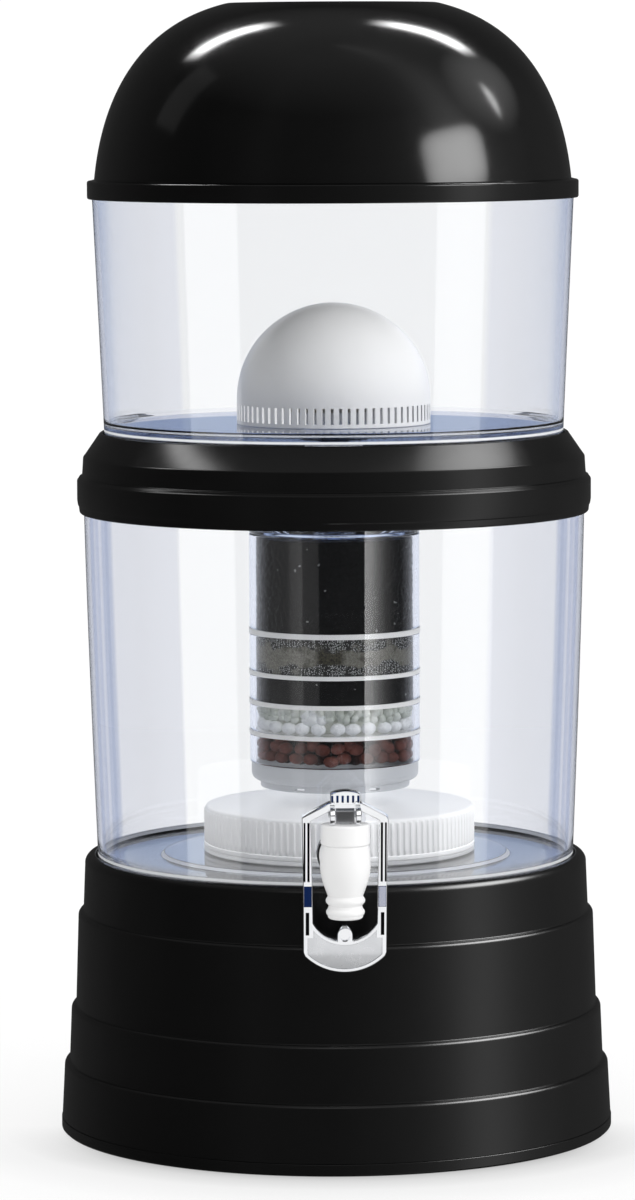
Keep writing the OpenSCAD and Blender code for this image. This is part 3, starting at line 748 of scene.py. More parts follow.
def make_ring():
    prof = ([(116.95, 354.6), (117.6, 355.2), (118.6, 354.6)] + arc(124.6, 341.8, 2.4, 50, 4, 12)
            + [(127.3, 336.8), (127.6, 333.4), (128.9, 332.9)] + arc(128.6, 330.6, 1.5, 55, 0, 8)
            + [(130.1, 327), (130.1, 321), (129.7, 318.6), (129.2, 318.1), (129.2, 317.4)]
            + arc(127.7, 315.7, 1.3, 0, -70, 8)
            + [(127.5, 314.5), (127.25, 315.2), (127.25, 328), (100, 328), (100, 325), (97.6, 325),
               (97.6, 331), (124.6, 331), (124.6, 340.6), (122.9, 342.6), (117.4, 351.8), (116.95, 352.4)])
    piece(spin("mid_ring_v", soften(prof, 0.3, 4, keep=0.25), 240), "mid_ring", "ring_gloss", "mid_ring", "mid_ring_web")


# ---------------------------------------------------------------- lid

LA, LB, LN, LM, LZ = 121.46, 120.7, 3.03, 2.44, 454.0


def lidp(t, k):
    t = math.radians(t)
    return ((LA - k) * math.cos(t) ** (2 / LN), LZ + (LB - k) * math.sin(t) ** (2 / LM))


def lid_t(r, k):
    return math.degrees(math.acos((r / (LA - k)) ** (LN / 2)))


def make_lid():
    w = 2.5
    flat = 52.6
    t1, t2 = lid_t(flat, 0), lid_t(flat - 1, w)
    n = 110
    top = [lidp(t1 + (9.9 - t1) * i / n, 0) for i in range(n + 1)]
    zt = top[0][1]
    outer = ([(0, zt), (flat - 3.5, zt), (flat - 0.9, zt), (flat - 0.45, zt - 0.01), (flat - 0.1, zt - 0.06)]
             + [p for p in top if p[0] > flat + 0.3])
    rim = (arc(122.9, 480.9, 1.0, 90, 0, 8) + [(123.9, 480.0), (123.9, 474.2), (123.85, 473.6), (123.7, 473.2),
                                                (123.4, 472.85), (123.1, 472.8),
                                                (122.0, 472.8), (122.0, 478.05), (118.3, 478.05), (118.3, 474.4),
                                                (118.0, 474.0), (116.7, 474.0), (116.4, 474.4), (116.4, 482)])
    inner = [lidp(10.8 + (t2 - 10.8) * i / 40, w) for i in range(41)]
    prof = outer + rim + inner + [(0, inner[-1][1])]
    piece(spin("lid_v", prof, 320, angle=50), "lid", "black_gloss", "lid")


# ---------------------------------------------------------------- dome cover

def make_dome_cover():
    slots, ro, ri = 72, 49.0, 47.0
    zs0, zs1 = 361.2, 369.2
    half = math.degrees(0.75 / 48.0)
    cols, hole = [], []
    for i in range(slots):
        c = (i + 0.5) * 360 / slots
        nxt = (i + 1.5) * 360 / slots
        cols += [c - half, c + half, c + half + (nxt - c - 2 * half) / 3, c + half + 2 * (nxt - c - 2 * half) / 3]
        hole += [True, False, False, False]
    n = len(cols)
    outer = [(ro - 0.35, 359.0), (ro, 359.35), (ro, zs0), (ro, zs1), (ro, 371.5)] + oval(ro, 371.5, 48.6, 4, 89, 26)
    inner = [(ri, 359.0), (ri, 359.35), (ri, zs0), (ri, zs1), (ri, 371.5)] + oval(ri, 371.5, 46.4, 4, 89, 26)
    verts, faces = [], []

    def rows(pts):
        made = []
        for r, z in pts:
            made.append([len(verts) + j for j in range(n)])
            for a in cols:
                verts.append((r * math.cos(math.radians(a)), r * math.sin(math.radians(a)), z))
        return made

    ro_, ri_ = rows(outer), rows(inner)
    for rr, flip in ((ro_, False), (ri_, True)):
        for i in range(len(rr) - 1):
            for j in range(n):
                if i == 2 and hole[j]:
                    continue
                k = (j + 1) % n
                q = (rr[i][j], rr[i][k], rr[i + 1][k], rr[i + 1][j])
                faces.append(q[::-1] if flip else q)
        top = len(verts)
        z = 371.5 + (48.6 if rr is ro_ else 46.4)
        verts.append((0, 0, z))
        for j in range(n):
            k = (j + 1) % n
            q = (rr[-1][j], rr[-1][k], top)
            faces.append(q[::-1] if flip else q)
    for j in range(n):
        k = (j + 1) % n
        faces.append((ri_[0][j], ri_[0][k], ro_[0][k], ro_[0][j]))
        if hole[j]:
            a, b = 2, 3
            faces.append((ro_[a][j], ro_[a][k], ri_[a][k], ri_[a][j]))
            faces.append((ro_[b][k], ro_[b][j], ri_[b][j], ri_[b][k]))
            faces.append((ro_[b][j], ro_[a][j], ri_[a][j], ri_[b][j]))
            faces.append((ro_[a][k], ro_[b][k], ri_[b][k], ri_[a][k]))
    ob = obj_from("dome_cover_v", verts, faces, 35)
    piece(ob, "dome_cover", "white_satin", "dome_cover")


# ---------------------------------------------------------------- stone case

def make_case():
    cx = 2.0
    ribs = 120
    per = 8

    def rib(r, z, a):
        if r < 68.0:
            return r
        k = (a / (2 * PI) * ribs + 0.5) % 1.0 - 0.5
        top = max(0.0, min(1.0, (163.5 - z) / 0.5)) * max(0.0, min(1.0, (z - 146.7) / 0.5))
        x = max(0.0, min(1.0, (0.27 - abs(k)) / 0.09))
        return r + 0.62 * top * x * x * (3 - 2 * x) if 146.7 < z < 163.55 and r < 68.5 else r

    prof = ([(66.7, 144.3), (68.6, 144.3), (68.85, 144.45), (68.9, 144.7), (68.9, 146.2), (68.8, 146.5), (68.5, 146.6),
             (68.22, 146.7), (68.2, 147.3), (68.2, 150), (68.2, 155), (68.2, 160.0), (68.2, 162.8), (68.2, 163.1),
             (68.2, 163.4)] + arc(66.7, 163.6, 1.5, 0, 76, 8)
            + [(66.2, 165.16), (60, 165.5), (59.0, 165.56), (46, 166.2), (0, 166.2), (0, 164.2), (46, 164.2), (64.6, 163.3),
               (66.0, 162.2), (66.0, 157.5), (66.7, 157)])
    lid = spin("stone_case_lid_v", prof, ribs * per, cx=cx, radial=rib, angle=50)
    piece(lid, "stone_case_lid", "white_plastic", "stone_case_lid")
    tray = soften([(0, 141.5), (66.6, 141.5), (68.9, 142.3), (68.9, 144.2), (66.4, 144.2), (66.4, 156),
                   (64.4, 156), (64.4, 143.7), (0, 143.7)], 0.3, 3)
    piece(spin("stone_case_tray_v", tray, 192, cx=cx), "lower_tank", "white_plastic", "stone_case_tray")


# ---------------------------------------------------------------- cartridge

C_BOT, S4A, S4B, S3A, S3B, S2A, S2B, S1A, S1B, C_TOP = 187.6, 201.9, 204.0, 217.5, 219.7, 232.4, 234.5, 253.0, 255.6, 303.5


def bed_mesh(name, z0, z1, amp, freq, seed, rmax=39.95, step=0.8, top_amp=0.5):
    """A filled bed with a grainy skin: a drum whose side and top are roughened inwards."""
    seg = int(2 * PI * rmax / step)
    rows = max(3, int((z1 - z0) / step))
    verts, faces = [], []
    off = Vector((seed * 7.13, seed * 3.7, 0))

    def h(p):
        q = Vector(p) * freq + off
        a = noise.noise(q)
        b = noise.noise(q * 2.3)
        return max(0.0, min(1.0, 0.5 + 0.75 * a + 0.35 * b))

    made = []
    for i in range(rows + 1):
        z = z0 + (z1 - z0) * i / rows
        row = []
        for j in range(seg):
            a = 2 * PI * j / seg
            x, y = rmax * math.cos(a), rmax * math.sin(a)
            d = amp * h((x, y, z)) * (0.0 if i == 0 else 1.0)
            zz = z - (top_amp * h((x * 1.3, y * 1.3, z + 9)) if i == rows else 0)
            row.append(len(verts))
            verts.append(((rmax - d) * math.cos(a), (rmax - d) * math.sin(a), zz))
        made.append(row)
    for ring in range(1, 9):
        rr = rmax * (1 - ring / 9)
        row = []
        for j in range(seg):
            a = 2 * PI * j / seg
            x, y = rr * math.cos(a), rr * math.sin(a)
            row.append(len(verts))
            verts.append((x, y, z1 - top_amp * h((x, y, z1))))
        made.append(row)
    for i in range(len(made) - 1):
        for j in range(seg):
            k = (j + 1) % seg
            faces.append((made[i][j], made[i][k], made[i + 1][k], made[i + 1][j]))
    faces.append(tuple(made[-1]))
    faces.append(tuple(reversed(made[0])))
    return obj_from(name, verts, faces, 60)


def make_cartridge():
    cap_out = [(4.0, 303.5), (36.0, 303.5), (42.6, 303.5), (43.3, 304.2), (43.3, 307.9), (42.6, 308.6), (26, 308.6),
               (14.5, 318), (12.2, 320), (12.2, 347.4), (8.06, 347.4), (8.06, 322.0), (4.0, 322.0)]
    cap = [(36.0, 305.4), (36.0, 303.5), (42.6, 303.5), (43.3, 304.2), (43.3, 307.9), (42.6, 308.6), (26, 308.6),
           (14.5, 318), (12.2, 320), (12.2, 347.4), (8.06, 347.4), (8.06, 322.0), (4.0, 322.0), (4.0, 315.5),
           (12, 315.5), (24, 305.9)]
    piece(spin("cartridge_cap_v", soften(cap, 0.5, 4), 160), "cartridge", "tinted_clear", "cartridge_cap")
    for i, (a, b) in enumerate([(S1B, C_TOP), (S2B, S1A), (S3B, S2A), (S4B, S3A), (C_BOT, S4A)]):
        prof = soften([(40.25, a), (43.2, a), (43.2, b), (40.25, b)], 0.45, 4)
        extra = []
        v, f = spin_data(prof, 192)
        piece(obj_from(f"shell_section_{i + 1}_v", v, f), "cartridge", "clear_shell", f"shell_section_{i + 1}")
    for i in range(4):
        keep_cad(f"separator_{i + 1}", "white_satin")
    piece(bed_mesh("carbon_bed_v", S1B + 0.1, C_TOP - 1.5, 1.1, 0.55, 1), "cartridge", "carbon", "carbon_bed")
    piece(bed_mesh("mineral_sand_bed_v", S2B + 0.1, S1A - 0.4, 0.35, 1.2, 2), "cartridge", "mineral_sand",
          "mineral_sand_bed")
    piece(bed_mesh("fine_carbon_bed_v", S3B + 0.1, S2A - 0.4, 0.6, 0.9, 3), "cartridge", "carbon",
          "fine_carbon_bed")

    rnd = random.Random(11)

    def egg(a, r, z, tang, rad, vert, tilt, sub):
        rot = Matrix.Rotation(a, 4, "Z") @ Matrix.Rotation(tilt, 4, "X")
        return ball_data((r * math.cos(a), r * math.sin(a), z), 1.0, sub, (rad, tang, vert), rot)

    parts = []
    for i in range(27):
        a = 2 * PI * i / 27 + rnd.uniform(-0.02, 0.02) + 0.05
        v = rnd.uniform(2.9, 3.25)
        parts.append(egg(a, 36.4, S4B + v + 0.1, rnd.uniform(3.7, 4.25), 3.2, v, rnd.uniform(-0.12, 0.12), 3))
    v, f = merge(parts)
    piece(obj_from("white_balls_v", v, f, 80, recalc=False), "cartridge", "white_ceramic", "white_balls")

    parts = []
    for row, z, turn in ((0, C_BOT + 3.35, 0.0), (1, C_BOT + 8.3, PI / 26), (2, C_BOT + 11.0, 0.03)):
        cnt = 26 if row < 2 else 13
        for i in range(cnt):
            a = 2 * PI * i / cnt + turn + rnd.uniform(-0.05, 0.05)
            vert = rnd.uniform(2.75, 3.25)
            zz = z + rnd.uniform(-0.1, 1.6)
            zz = max(C_BOT + vert + 0.1, min(S4A - vert - 0.15, zz))
            rad = rnd.uniform(2.8, 3.4)
            rr = 39.85 - rad if row < 2 else 39.6 - rad - rnd.uniform(0, 1.2)
            parts.append(egg(a, rr, zz, rnd.uniform(3.3, 4.2), rad, vert, rnd.uniform(-0.5, 0.5) if row else 0.0, 3))
        for i in range(20):
            a = 2 * PI * i / 20 + turn
            parts.append(egg(a, 30.2, C_BOT + 3.6 + row * 3.4, 3.8, 3.2, 3.1, 0.0, 2))
    # a drum stands for the inner balls; its material paints it near black as painted shade
    painted_shade_core = [(0, C_BOT + 0.2), (24.5, C_BOT + 0.2), (24.5, S4A - 0.6), (0, S4A - 0.6)]
    parts.append(spin_data(soften(painted_shade_core, 1.0, 3), 64))
    v, f = merge(parts)
    piece(obj_from("red_balls_v", v, f, 80, recalc=False), "cartridge", "red_ceramic", "red_balls")

    parts = [egg(math.atan2(-34.6, -13.2), 36.0, 211.6, 4.3, 3.3, 3.0, 0.25, 3),
             egg(math.atan2(-36.2, -7.6), 37.2, 211.2, 2.3, 2.2, 1.9, -0.2, 3)]
    z0 = S4B + 6.9
    for ring in range(4):
        rr = 37.4 - ring * 4.6
        for layer in range(3):
            cnt = int(2 * PI * rr / 4.4)
            for i in range(cnt):
                a = 2 * PI * (i + rnd.uniform(-0.3, 0.3)) / cnt
                s = rnd.uniform(1.7, 2.5)
                rr2 = min(rr + rnd.uniform(-1.0, 0.9), 39.8 - s)
                z = min(z0 + s * 0.6 + layer * 2.5 + rnd.uniform(-0.5, 0.5), S3A - 0.5 - s * 0.8)
                rot = Matrix.Rotation(rnd.uniform(0, 2 * PI), 4, Vector((rnd.random(), rnd.random(), rnd.random() + 0.1)).normalized())
                parts.append(ball_data((rr2 * math.cos(a), rr2 * math.sin(a), z), s * 1.15, 2,
                                       (1.0, rnd.uniform(0.7, 0.95), rnd.uniform(0.65, 0.95)), rot))
    inner = [(0, S4B + 0.2), (30.5, S4B + 0.2), (30.5, S3A - 1.2), (29.5, S3A - 0.5), (0, S3A - 0.5)]
    parts.append(spin_data(soften(inner, 0.8, 3), 64))
    v, f = merge(parts)
    piece(obj_from("silica_bed_v", v, f, 80, recalc=False), "cartridge", "silica", "silica_bed")

    cap = ([(42.5, C_BOT), (42.4, 181.6)] + arc(39.1, 181.5, 3.2, 0, -84, 12)
           + [(38.2, 178.3), (37.8, 174.7), (34.6, 174.7), (34.6, 178.3), (0, 178.3), (0, 181), (38.4, 181),
              (39.6, 182.4), (39.6, C_BOT)])
    ob = spin("cartridge_bottom_cap_v", soften(cap, 0.4, 3), 160)
    cuts = []
    for i in range(6):
        cuts.append(moved(box_data(30, 42, -3, 3, 175.6, 176.9), Matrix.Rotation(math.radians(60 * i), 4, "Z")))
    for i in range(12):
        a = math.radians(30 * i)
        cuts.append(spin_data([(0, 176), (1.6, 176), (1.6, 184), (0, 184)], 16, 22 * math.cos(a), 22 * math.sin(a)))
    cut(ob, obj_from("cuts_tmp", *merge(cuts)))
    piece(ob, "cartridge", "grey_plastic", "cartridge_bottom_cap")


# ---------------------------------------------------------------- tap

TY, TZ, PZ = -168.0, 156.0, 182.0


def make_tap():
    barrel = ([(5, 131.6), (7.6, 131.6), (8.4, 132.3)] + arc(7.4, 134.8, 1.9, -50, 50, 10)
              + [(8.2, 137.2), (8.1, 138.0)] + arc(7.6, 140.4, 1.9, -50, 50, 10)
              + [(8.5, 142.6), (9.6, 145.6), (11.0, 149.6), (11.9, 153.8), (12.2, 157.4), (12.1, 161), (11.6, 165),
                 (11.3, 167.2), (8.6, 167.2), (8.6, 150), (5, 150)])
    neck = [(4.5, 9.3), (8.8, 9.3), (8.8, 41.0), (4.5, 41.0)]
    flange = [(4.5, 39.8), (11.5, 39.8), (11.5, 42.3), (7.5, 42.3), (7.5, 50.3)]
    for i in range(9):
        flange += [(7.0, 50.9 + i * 2), (7.5, 51.9 + i * 2)]
    flange += [(7.0, 68.9), (7.0, 70.3), (4.5, 70.3)]
    parts = [spin_data(soften(barrel, 0.5, 4), 128, 0, TY),
             along_y(spin_data(soften(neck, 0.2, 2), 96), TY, TZ),
             along_y(spin_data(soften(flange, 0.35, 3), 96), TY, TZ)]
    v, f = merge(parts)
    ob = obj_from("tap_body_v", v, f)
    piece(ob, "lower_tank", "white_tap", "tap_body")

    bon = ([(3.06, 174.5), (7, 174.5), (7, 163), (8.5, 163), (8.5, 167.25), (11.2, 167.25), (11.85, 168)]
           + arc(10.85, 176.4, 1.0, 0, 80, 8) + [(10.4, 177.5), (3.06, 177.5)])
    piece(spin("tap_bonnet_v", soften(bon, 0.25, 3), 128, 0, TY), "lower_tank", "white_tap", "tap_bonnet")
    for node, mat in (("tap_nut", "white_plastic"), ("tap_stem", "steel"), ("tap_seal", "grey_rubber"),
                      ("tap_washer_outer", "white_satin"),
                      ("tap_washer_inner", "grey_rubber"), ("lever_pin", "steel")):
        keep_cad(node, mat)


def make_spring():
    """The return spring: a coil of steel wire round the stem, from its foot up to under the collar."""
    turns, per, m, rr, wire = 6, 36, 12, 5.0, 0.45
    z0, z1 = 157.2 + wire + 0.05, 174.5 - wire - 0.05
    ns = turns * per
    verts, faces = [], []
    for i in range(ns + 1):
        a = 2 * PI * i / per
        for j in range(m):
            b = 2 * PI * j / m
            c = rr + wire * math.cos(b)
            verts.append((c * math.cos(a), TY + c * math.sin(a), z0 + (z1 - z0) * i / ns + wire * math.sin(b)))
    faces.append(tuple(range(m)))
    faces.append(tuple(ns * m + j for j in range(m - 1, -1, -1)))
    for i in range(ns):
        for j in range(m):
            k = (j + 1) % m
            faces.append((i * m + j, (i + 1) * m + j, (i + 1) * m + k, i * m + k))
    ob = obj_from("tap_spring_v", verts, faces, 50)
    ob.data.materials.clear()
    ob.data.materials.append(M["steel"])
    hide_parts("tap_spring")
    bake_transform(ob)
    PIECES[ob.name] = ob


def arcpts(cx, cy, r, a0, a1, n):
    return arc(cx, cy, r, a0, a1, n)


def make_lever():
    lever = Matrix.Translation((0, TY * MM, PZ * MM)) @ Matrix.Rotation(math.radians(101), 4, "X")
    a = math.degrees(math.atan2(-17.65, -20.1))
    outline = ([(-20.8, -1), (-20.2, -36), (-20.1, -69.5)] + arcpts(0, -53.05, 26.75, a, -180 - a, 40)[1:-1]
               + [(20.1, -69.5), (20.2, -36), (20.8, -1), (7.8, 6.1), (-7.8, 6.1)])
    outline = soften(outline, 1.0, 4, {0: 2.6, len(outline) - 3: 2.6, len(outline) - 1: 1.6, len(outline) - 2: 1.6}, keep=99)
    a1 = math.degrees(math.atan2(-7.906, -15.5))
    a2 = math.degrees(math.atan2(-17.0, -3.7))
    window = ([(-16.6, -2.6), (-15.7, -36), (-15.5, -54.6)] + arcpts(0, -46.7, 17.4, a1, a2, 12)[1:]
              + [(-3.7, -60.6)] + arcpts(0, -60.6, 3.7, 180, 0, 20)[1:-1] + [(3.7, -60.6)]
              + arcpts(0, -46.7, 17.4, -180 - a2, -180 - a1, 12)[:-1]
              + [(15.5, -54.6), (15.7, -36), (16.6, -2.6), (7.3, 2.2), (6.0, 3.6), (-6.0, 3.6), (-7.3, 2.2)])
    window = soften(window, 0.7, 3, {0: 1.6, len(window) - 5: 1.6}, keep=99)
    frame_plate = plate("lever_plate", outline, [window], -2.6, 2.6, 0.55, 3)

    b = math.degrees(math.atan2(-11.4, -15.2))
    c = math.degrees(math.atan2(-17.35, -18.0))
    pad = ([(-18.0, -62.0), (-15.2, -62.0), (-15.2, -58.1)] + arcpts(0, -46.7, 19.0, b, -180 - b, 28)[1:-1]
           + [(15.2, -58.1), (15.2, -62.0), (18.0, -62.0), (18.0, -70.4)]
           + arcpts(0, -53.05, 25.0, -180 - c, c, 28)[1:-1] + [(-18.0, -70.4)])
    recess = plate("recess_tmp", pad, [], 1.4, 4.0, 0.02, 0)
    boxes = []
    for s in (-1, 1):
        boxes.append(box_data(s * 17.6 - 0.55, s * 17.6 + 0.55, -33.4, -3.4, 1.2, 3.6))
        boxes.append(box_data(s * 19.5 - 0.45, s * 19.5 + 0.45, -33.4, -3.4, 1.2, 3.6))
        boxes.append(box_data(s * 17.9 - 1.9, s * 17.9 + 1.9, -46.2, -35.6, 1.4, 3.4))
        boxes.append(box_data(s * 18.1 - 0.85, s * 18.1 + 0.85, -60.6, -49, 0.6, 3.6))
    boxes.append(spin_data([(0, 0.9), (2.3, 0.9), (2.6, 4.0), (0, 4.0)], 32, 0, -61.6))
    cutter = obj_from("boxes_tmp", *merge(boxes))
    cut(frame_plate, recess)
    cut(frame_plate, cutter)
    thumb = soften([(-7.2, 5.0)] + [(7.2, 5.0), (7.2, 10.64)] + arcpts(0, -5.2, 17.4, 65.6, 114.4, 14)[1:-1]
                   + [(-7.2, 10.64)], 0.9, 3, keep=99)
    thumb_ob = plate("thumb_tmp", thumb, [], -2.4, 2.4, 0.5, 3)
    groove_shade = [box_data(-6.25 + i * 2.5 - 0.55, -6.25 + i * 2.5 + 0.55, 6.6, 10.2, 1.2, 3.6) for i in range(6)]
    cut(thumb_ob, obj_from("grooves_tmp", *merge(groove_shade)))
    for o in (frame_plate, thumb_ob):
        o.data.transform(lever)
    ears = []
    for s in (-1, 1):
        stad = arcpts(0, 0, 4.2, -90, 90, 16) + arcpts(-7.5, 0, 4.2, 90, 270, 16)
        e = plate(f"ear_tmp{s}", stad, [arcpts(0, 0, 1.5, 0, 345, 23)], -1.2, 1.2, 0.25, 2)
        # drawn in x = along Y, y = along Z; turned to stand in the YZ plane
        e.data.transform(Matrix.Translation((s * 6.2 * MM, TY * MM, PZ * MM))
                         @ Matrix(((0, 0, 1, 0), (1, 0, 0, 0), (0, 1, 0, 0), (0, 0, 0, 1))))
        ears.append(e)
    ob = joined("lever_frame_v", [frame_plate, thumb_ob] + ears, 32)
    piece(ob, "lever", "chrome", "lever_frame")

    pad_ob = plate("lever_pad_v", pad, [], 1.4, 2.4, 0.25, 2)
    cut(pad_ob, obj_from("eye_tmp", *spin_data([(0, 0.9), (2.3, 0.9), (2.6, 4.0), (0, 4.0)], 32, 0, -61.6)))
    pad_ob.data.transform(lever)
    piece(pad_ob, "lever", "satin_silver", "lever_pad")
    for s, nm in ((-1, "left"), (1, "right")):
        q = soften([(s * 17.9 - 1.9, -46.2), (s * 17.9 + 1.9, -46.2), (s * 17.9 + 1.9, -35.6), (s * 17.9 - 1.9, -35.6)],
                   0.5, 3, keep=99)
        i_ob = plate(f"lever_insert_{nm}_v", [(x - 0.0, y) for x, y in q], [], 1.4, 2.8, 0.3, 2)
        i_ob.data.transform(lever)
        piece(i_ob, "lever", "blue_plastic", f"lever_insert_{nm}")


def make_rest():
    for node, mat in (("ceramic_dome", "cream_ceramic"), ("ceramic_base", "white_plastic"),
                      ("outlet_stud", "white_plastic"), ("floor_washer", "grey_rubber"),
                      ("under_washer", "grey_rubber"), ("stud_nut", "white_plastic"),
                      ("mineral_stones", "mineral_stone")):
        keep_cad(node, mat)


make_base()
make_tanks()
make_ring()
make_lid()
make_dome_cover()
make_case()
make_cartridge()
make_tap()
make_spring()
make_lever()
make_rest()


# ---------------------------------------------------------------- camera

cam_data = bpy.data.cameras.new("camera")
cam_data.sensor_width = 36.0
cam_data.sensor_fit = "AUTO"
cam_data.lens = 165.87
cam_data.clip_start = 0.05
cam_data.clip_end = 60
camera = bpy.data.objects.new("camera", cam_data)
SCENE.collection.objects.link(camera)
camera.matrix_world = (Matrix.Rotation(math.radians(-1.6), 4, "Z")
                       @ Matrix.Translation((0, -2.7949, 0.53783))
                       @ Matrix.Rotation(math.radians(0.176), 4, "Z")
                       @ Matrix.Rotation(math.radians(90 - 5.49378), 4, "X")
                       @ Matrix.Rotation(math.radians(-0.254), 4, "Z"))
SCENE.camera = camera


# ---------------------------------------------------------------- surroundings

STUDIO = [(-180, 0.04), (-126, 0.06), (-92, 0.04), (-74, 0.03), (-51, 0.05), (-37, 0.09), (-23, 0.07), (0, 0.09),
          (23, 0.16), (36, 0.24), (48, 0.42), (58, 0.80), (66, 0.92), (74, 0.70), (84, 0.40), (95, 0.27), (112, 0.15),
          (141, 0.07), (180, 0.04)]


def make_world():
    w = bpy.data.worlds.new("studio")
    SCENE.world = w
    w.use_nodes = True
    t = w.node_tree
    t.nodes.clear()
    out = t.nodes.new("ShaderNodeOutputWorld")
    bg = t.nodes.new("ShaderNodeBackground")
    lp = t.nodes.new("ShaderNodeLightPath")

    def m(op, a, b):
        n = t.nodes.new("ShaderNodeMath")
        n.operation = op
        for s, v in ((n.inputs[0], a), (n.inputs[1], b)):
            if hasattr(v, "is_linked"):
                t.links.new(v, s)
            else:
                s.default_value = v
        return n.outputs[0]

    def span(v, a0, a1, b0, b1):
        n = t.nodes.new("ShaderNodeMapRange")
        t.links.new(v, n.inputs["Value"])
        n.inputs["From Min"].default_value = a0
        n.inputs["From Max"].default_value = a1
        n.inputs["To Min"].default_value = b0
        n.inputs["To Max"].default_value = b1
        return n.outputs["Result"]

    def ramp(v, stops):
        n = t.nodes.new("ShaderNodeValToRGB")
        n.color_ramp.interpolation = "LINEAR"
        e = n.color_ramp.elements
        while len(e) < len(stops):
            e.new(0.5)
        for i, (q, c) in enumerate(stops):
            e[i].position = q
            e[i].color = (c, c, c, 1) if isinstance(c, float) else (*c, 1)
        t.links.new(v, n.inputs["Fac"])
        return n.outputs["Color"]

    def scaled(c, f):
        n = t.nodes.new("ShaderNodeVectorMath")
        n.operation = "SCALE"
        if hasattr(c, "is_linked"):
            t.links.new(c, n.inputs[0])
        else:
            n.inputs[0].default_value = c
        if hasattr(f, "is_linked"):
            t.links.new(f, n.inputs["Scale"])
        else:
            n.inputs["Scale"].default_value = f
        return n.outputs[0]

    def plus(a, b):
        n = t.nodes.new("ShaderNodeVectorMath")
        n.operation = "ADD"
        t.links.new(a, n.inputs[0])
        t.links.new(b, n.inputs[1])
        return n.outputs[0]

    coord = t.nodes.new("ShaderNodeTexCoord")
    sep = t.nodes.new("ShaderNodeSeparateXYZ")
    t.links.new(coord.outputs["Generated"], sep.inputs[0])
    through = m("GREATER_THAN", lp.outputs["Transmission Depth"], 0.5)
    mirrored = m("GREATER_THAN", lp.outputs["Glossy Depth"], 0.5)
    scattered = m("GREATER_THAN", lp.outputs["Diffuse Depth"], 0.5)
    clean = m("SUBTRACT", 1.0, mirrored)
    not_soft = m("SUBTRACT", 1.0, scattered)
    direct = m("MULTIPLY", m("MAXIMUM", lp.outputs["Is Camera Ray"], m("MULTIPLY", through, clean)), not_soft)
    inside = m("MULTIPLY", m("MULTIPLY", through, mirrored), not_soft)
    only_mirror = m("MULTIPLY", m("MULTIPLY", mirrored, m("SUBTRACT", 1.0, through)), not_soft)
    none = m("SUBTRACT", 1.0, m("MAXIMUM", m("MAXIMUM", lp.outputs["Is Camera Ray"], through), mirrored))
    rest = m("MAXIMUM", scattered, none)
    # what shiny black parts mirror: a dark room on the left, a soft bright wall on the right, light overhead
    az = m("ARCTAN2", sep.outputs["X"], m("MULTIPLY", sep.outputs["Y"], -1.0))
    stops = [((a + 180) / 360, v) for a, v in STUDIO]
    side = ramp(span(az, -PI, PI, 0.0, 1.0), stops)
    high = m("MULTIPLY", span(sep.outputs["Z"], 0.15, 0.55, 1.0, 0.95), span(sep.outputs["Z"], 0.55, 0.90, 1.0, 0.30))
    over = span(sep.outputs["Z"], 0.60, 0.97, 0.0, 0.24)
    room = plus(scaled(side, high), scaled((1.0, 1.0, 1.0), over))
    # what the inside faces of the clear parts mirror: a white backdrop, bluer near the ground, dark towards the camera
    ahead = span(sep.outputs["Y"], 0.25, 0.85, 0.04, 1.0)
    back = ramp(span(sep.outputs["Z"], -0.1, 0.4, 0.0, 1.0),
                [(0.0, (0.82, 0.84, 0.90)), (0.10, (0.78, 0.80, 0.87)), (0.19, (0.38, 0.46, 0.63)),
                 (0.36, (0.41, 0.49, 0.65)), (0.48, (0.62, 0.71, 0.88)), (0.62, (0.82, 0.88, 0.98)), (0.8, (1.0, 1.0, 1.0))])
    total = plus(plus(scaled((1.03, 1.03, 1.03), direct), scaled(back, m("MULTIPLY", inside, m("MULTIPLY", ahead, 1.2)))),
                 plus(scaled(room, only_mirror), scaled((0.95, 0.95, 0.95), rest)))
    t.links.new(total, bg.inputs["Color"])
    bg.inputs["Strength"].default_value = 1.0
    t.links.new(bg.outputs[0], out.inputs["Surface"])


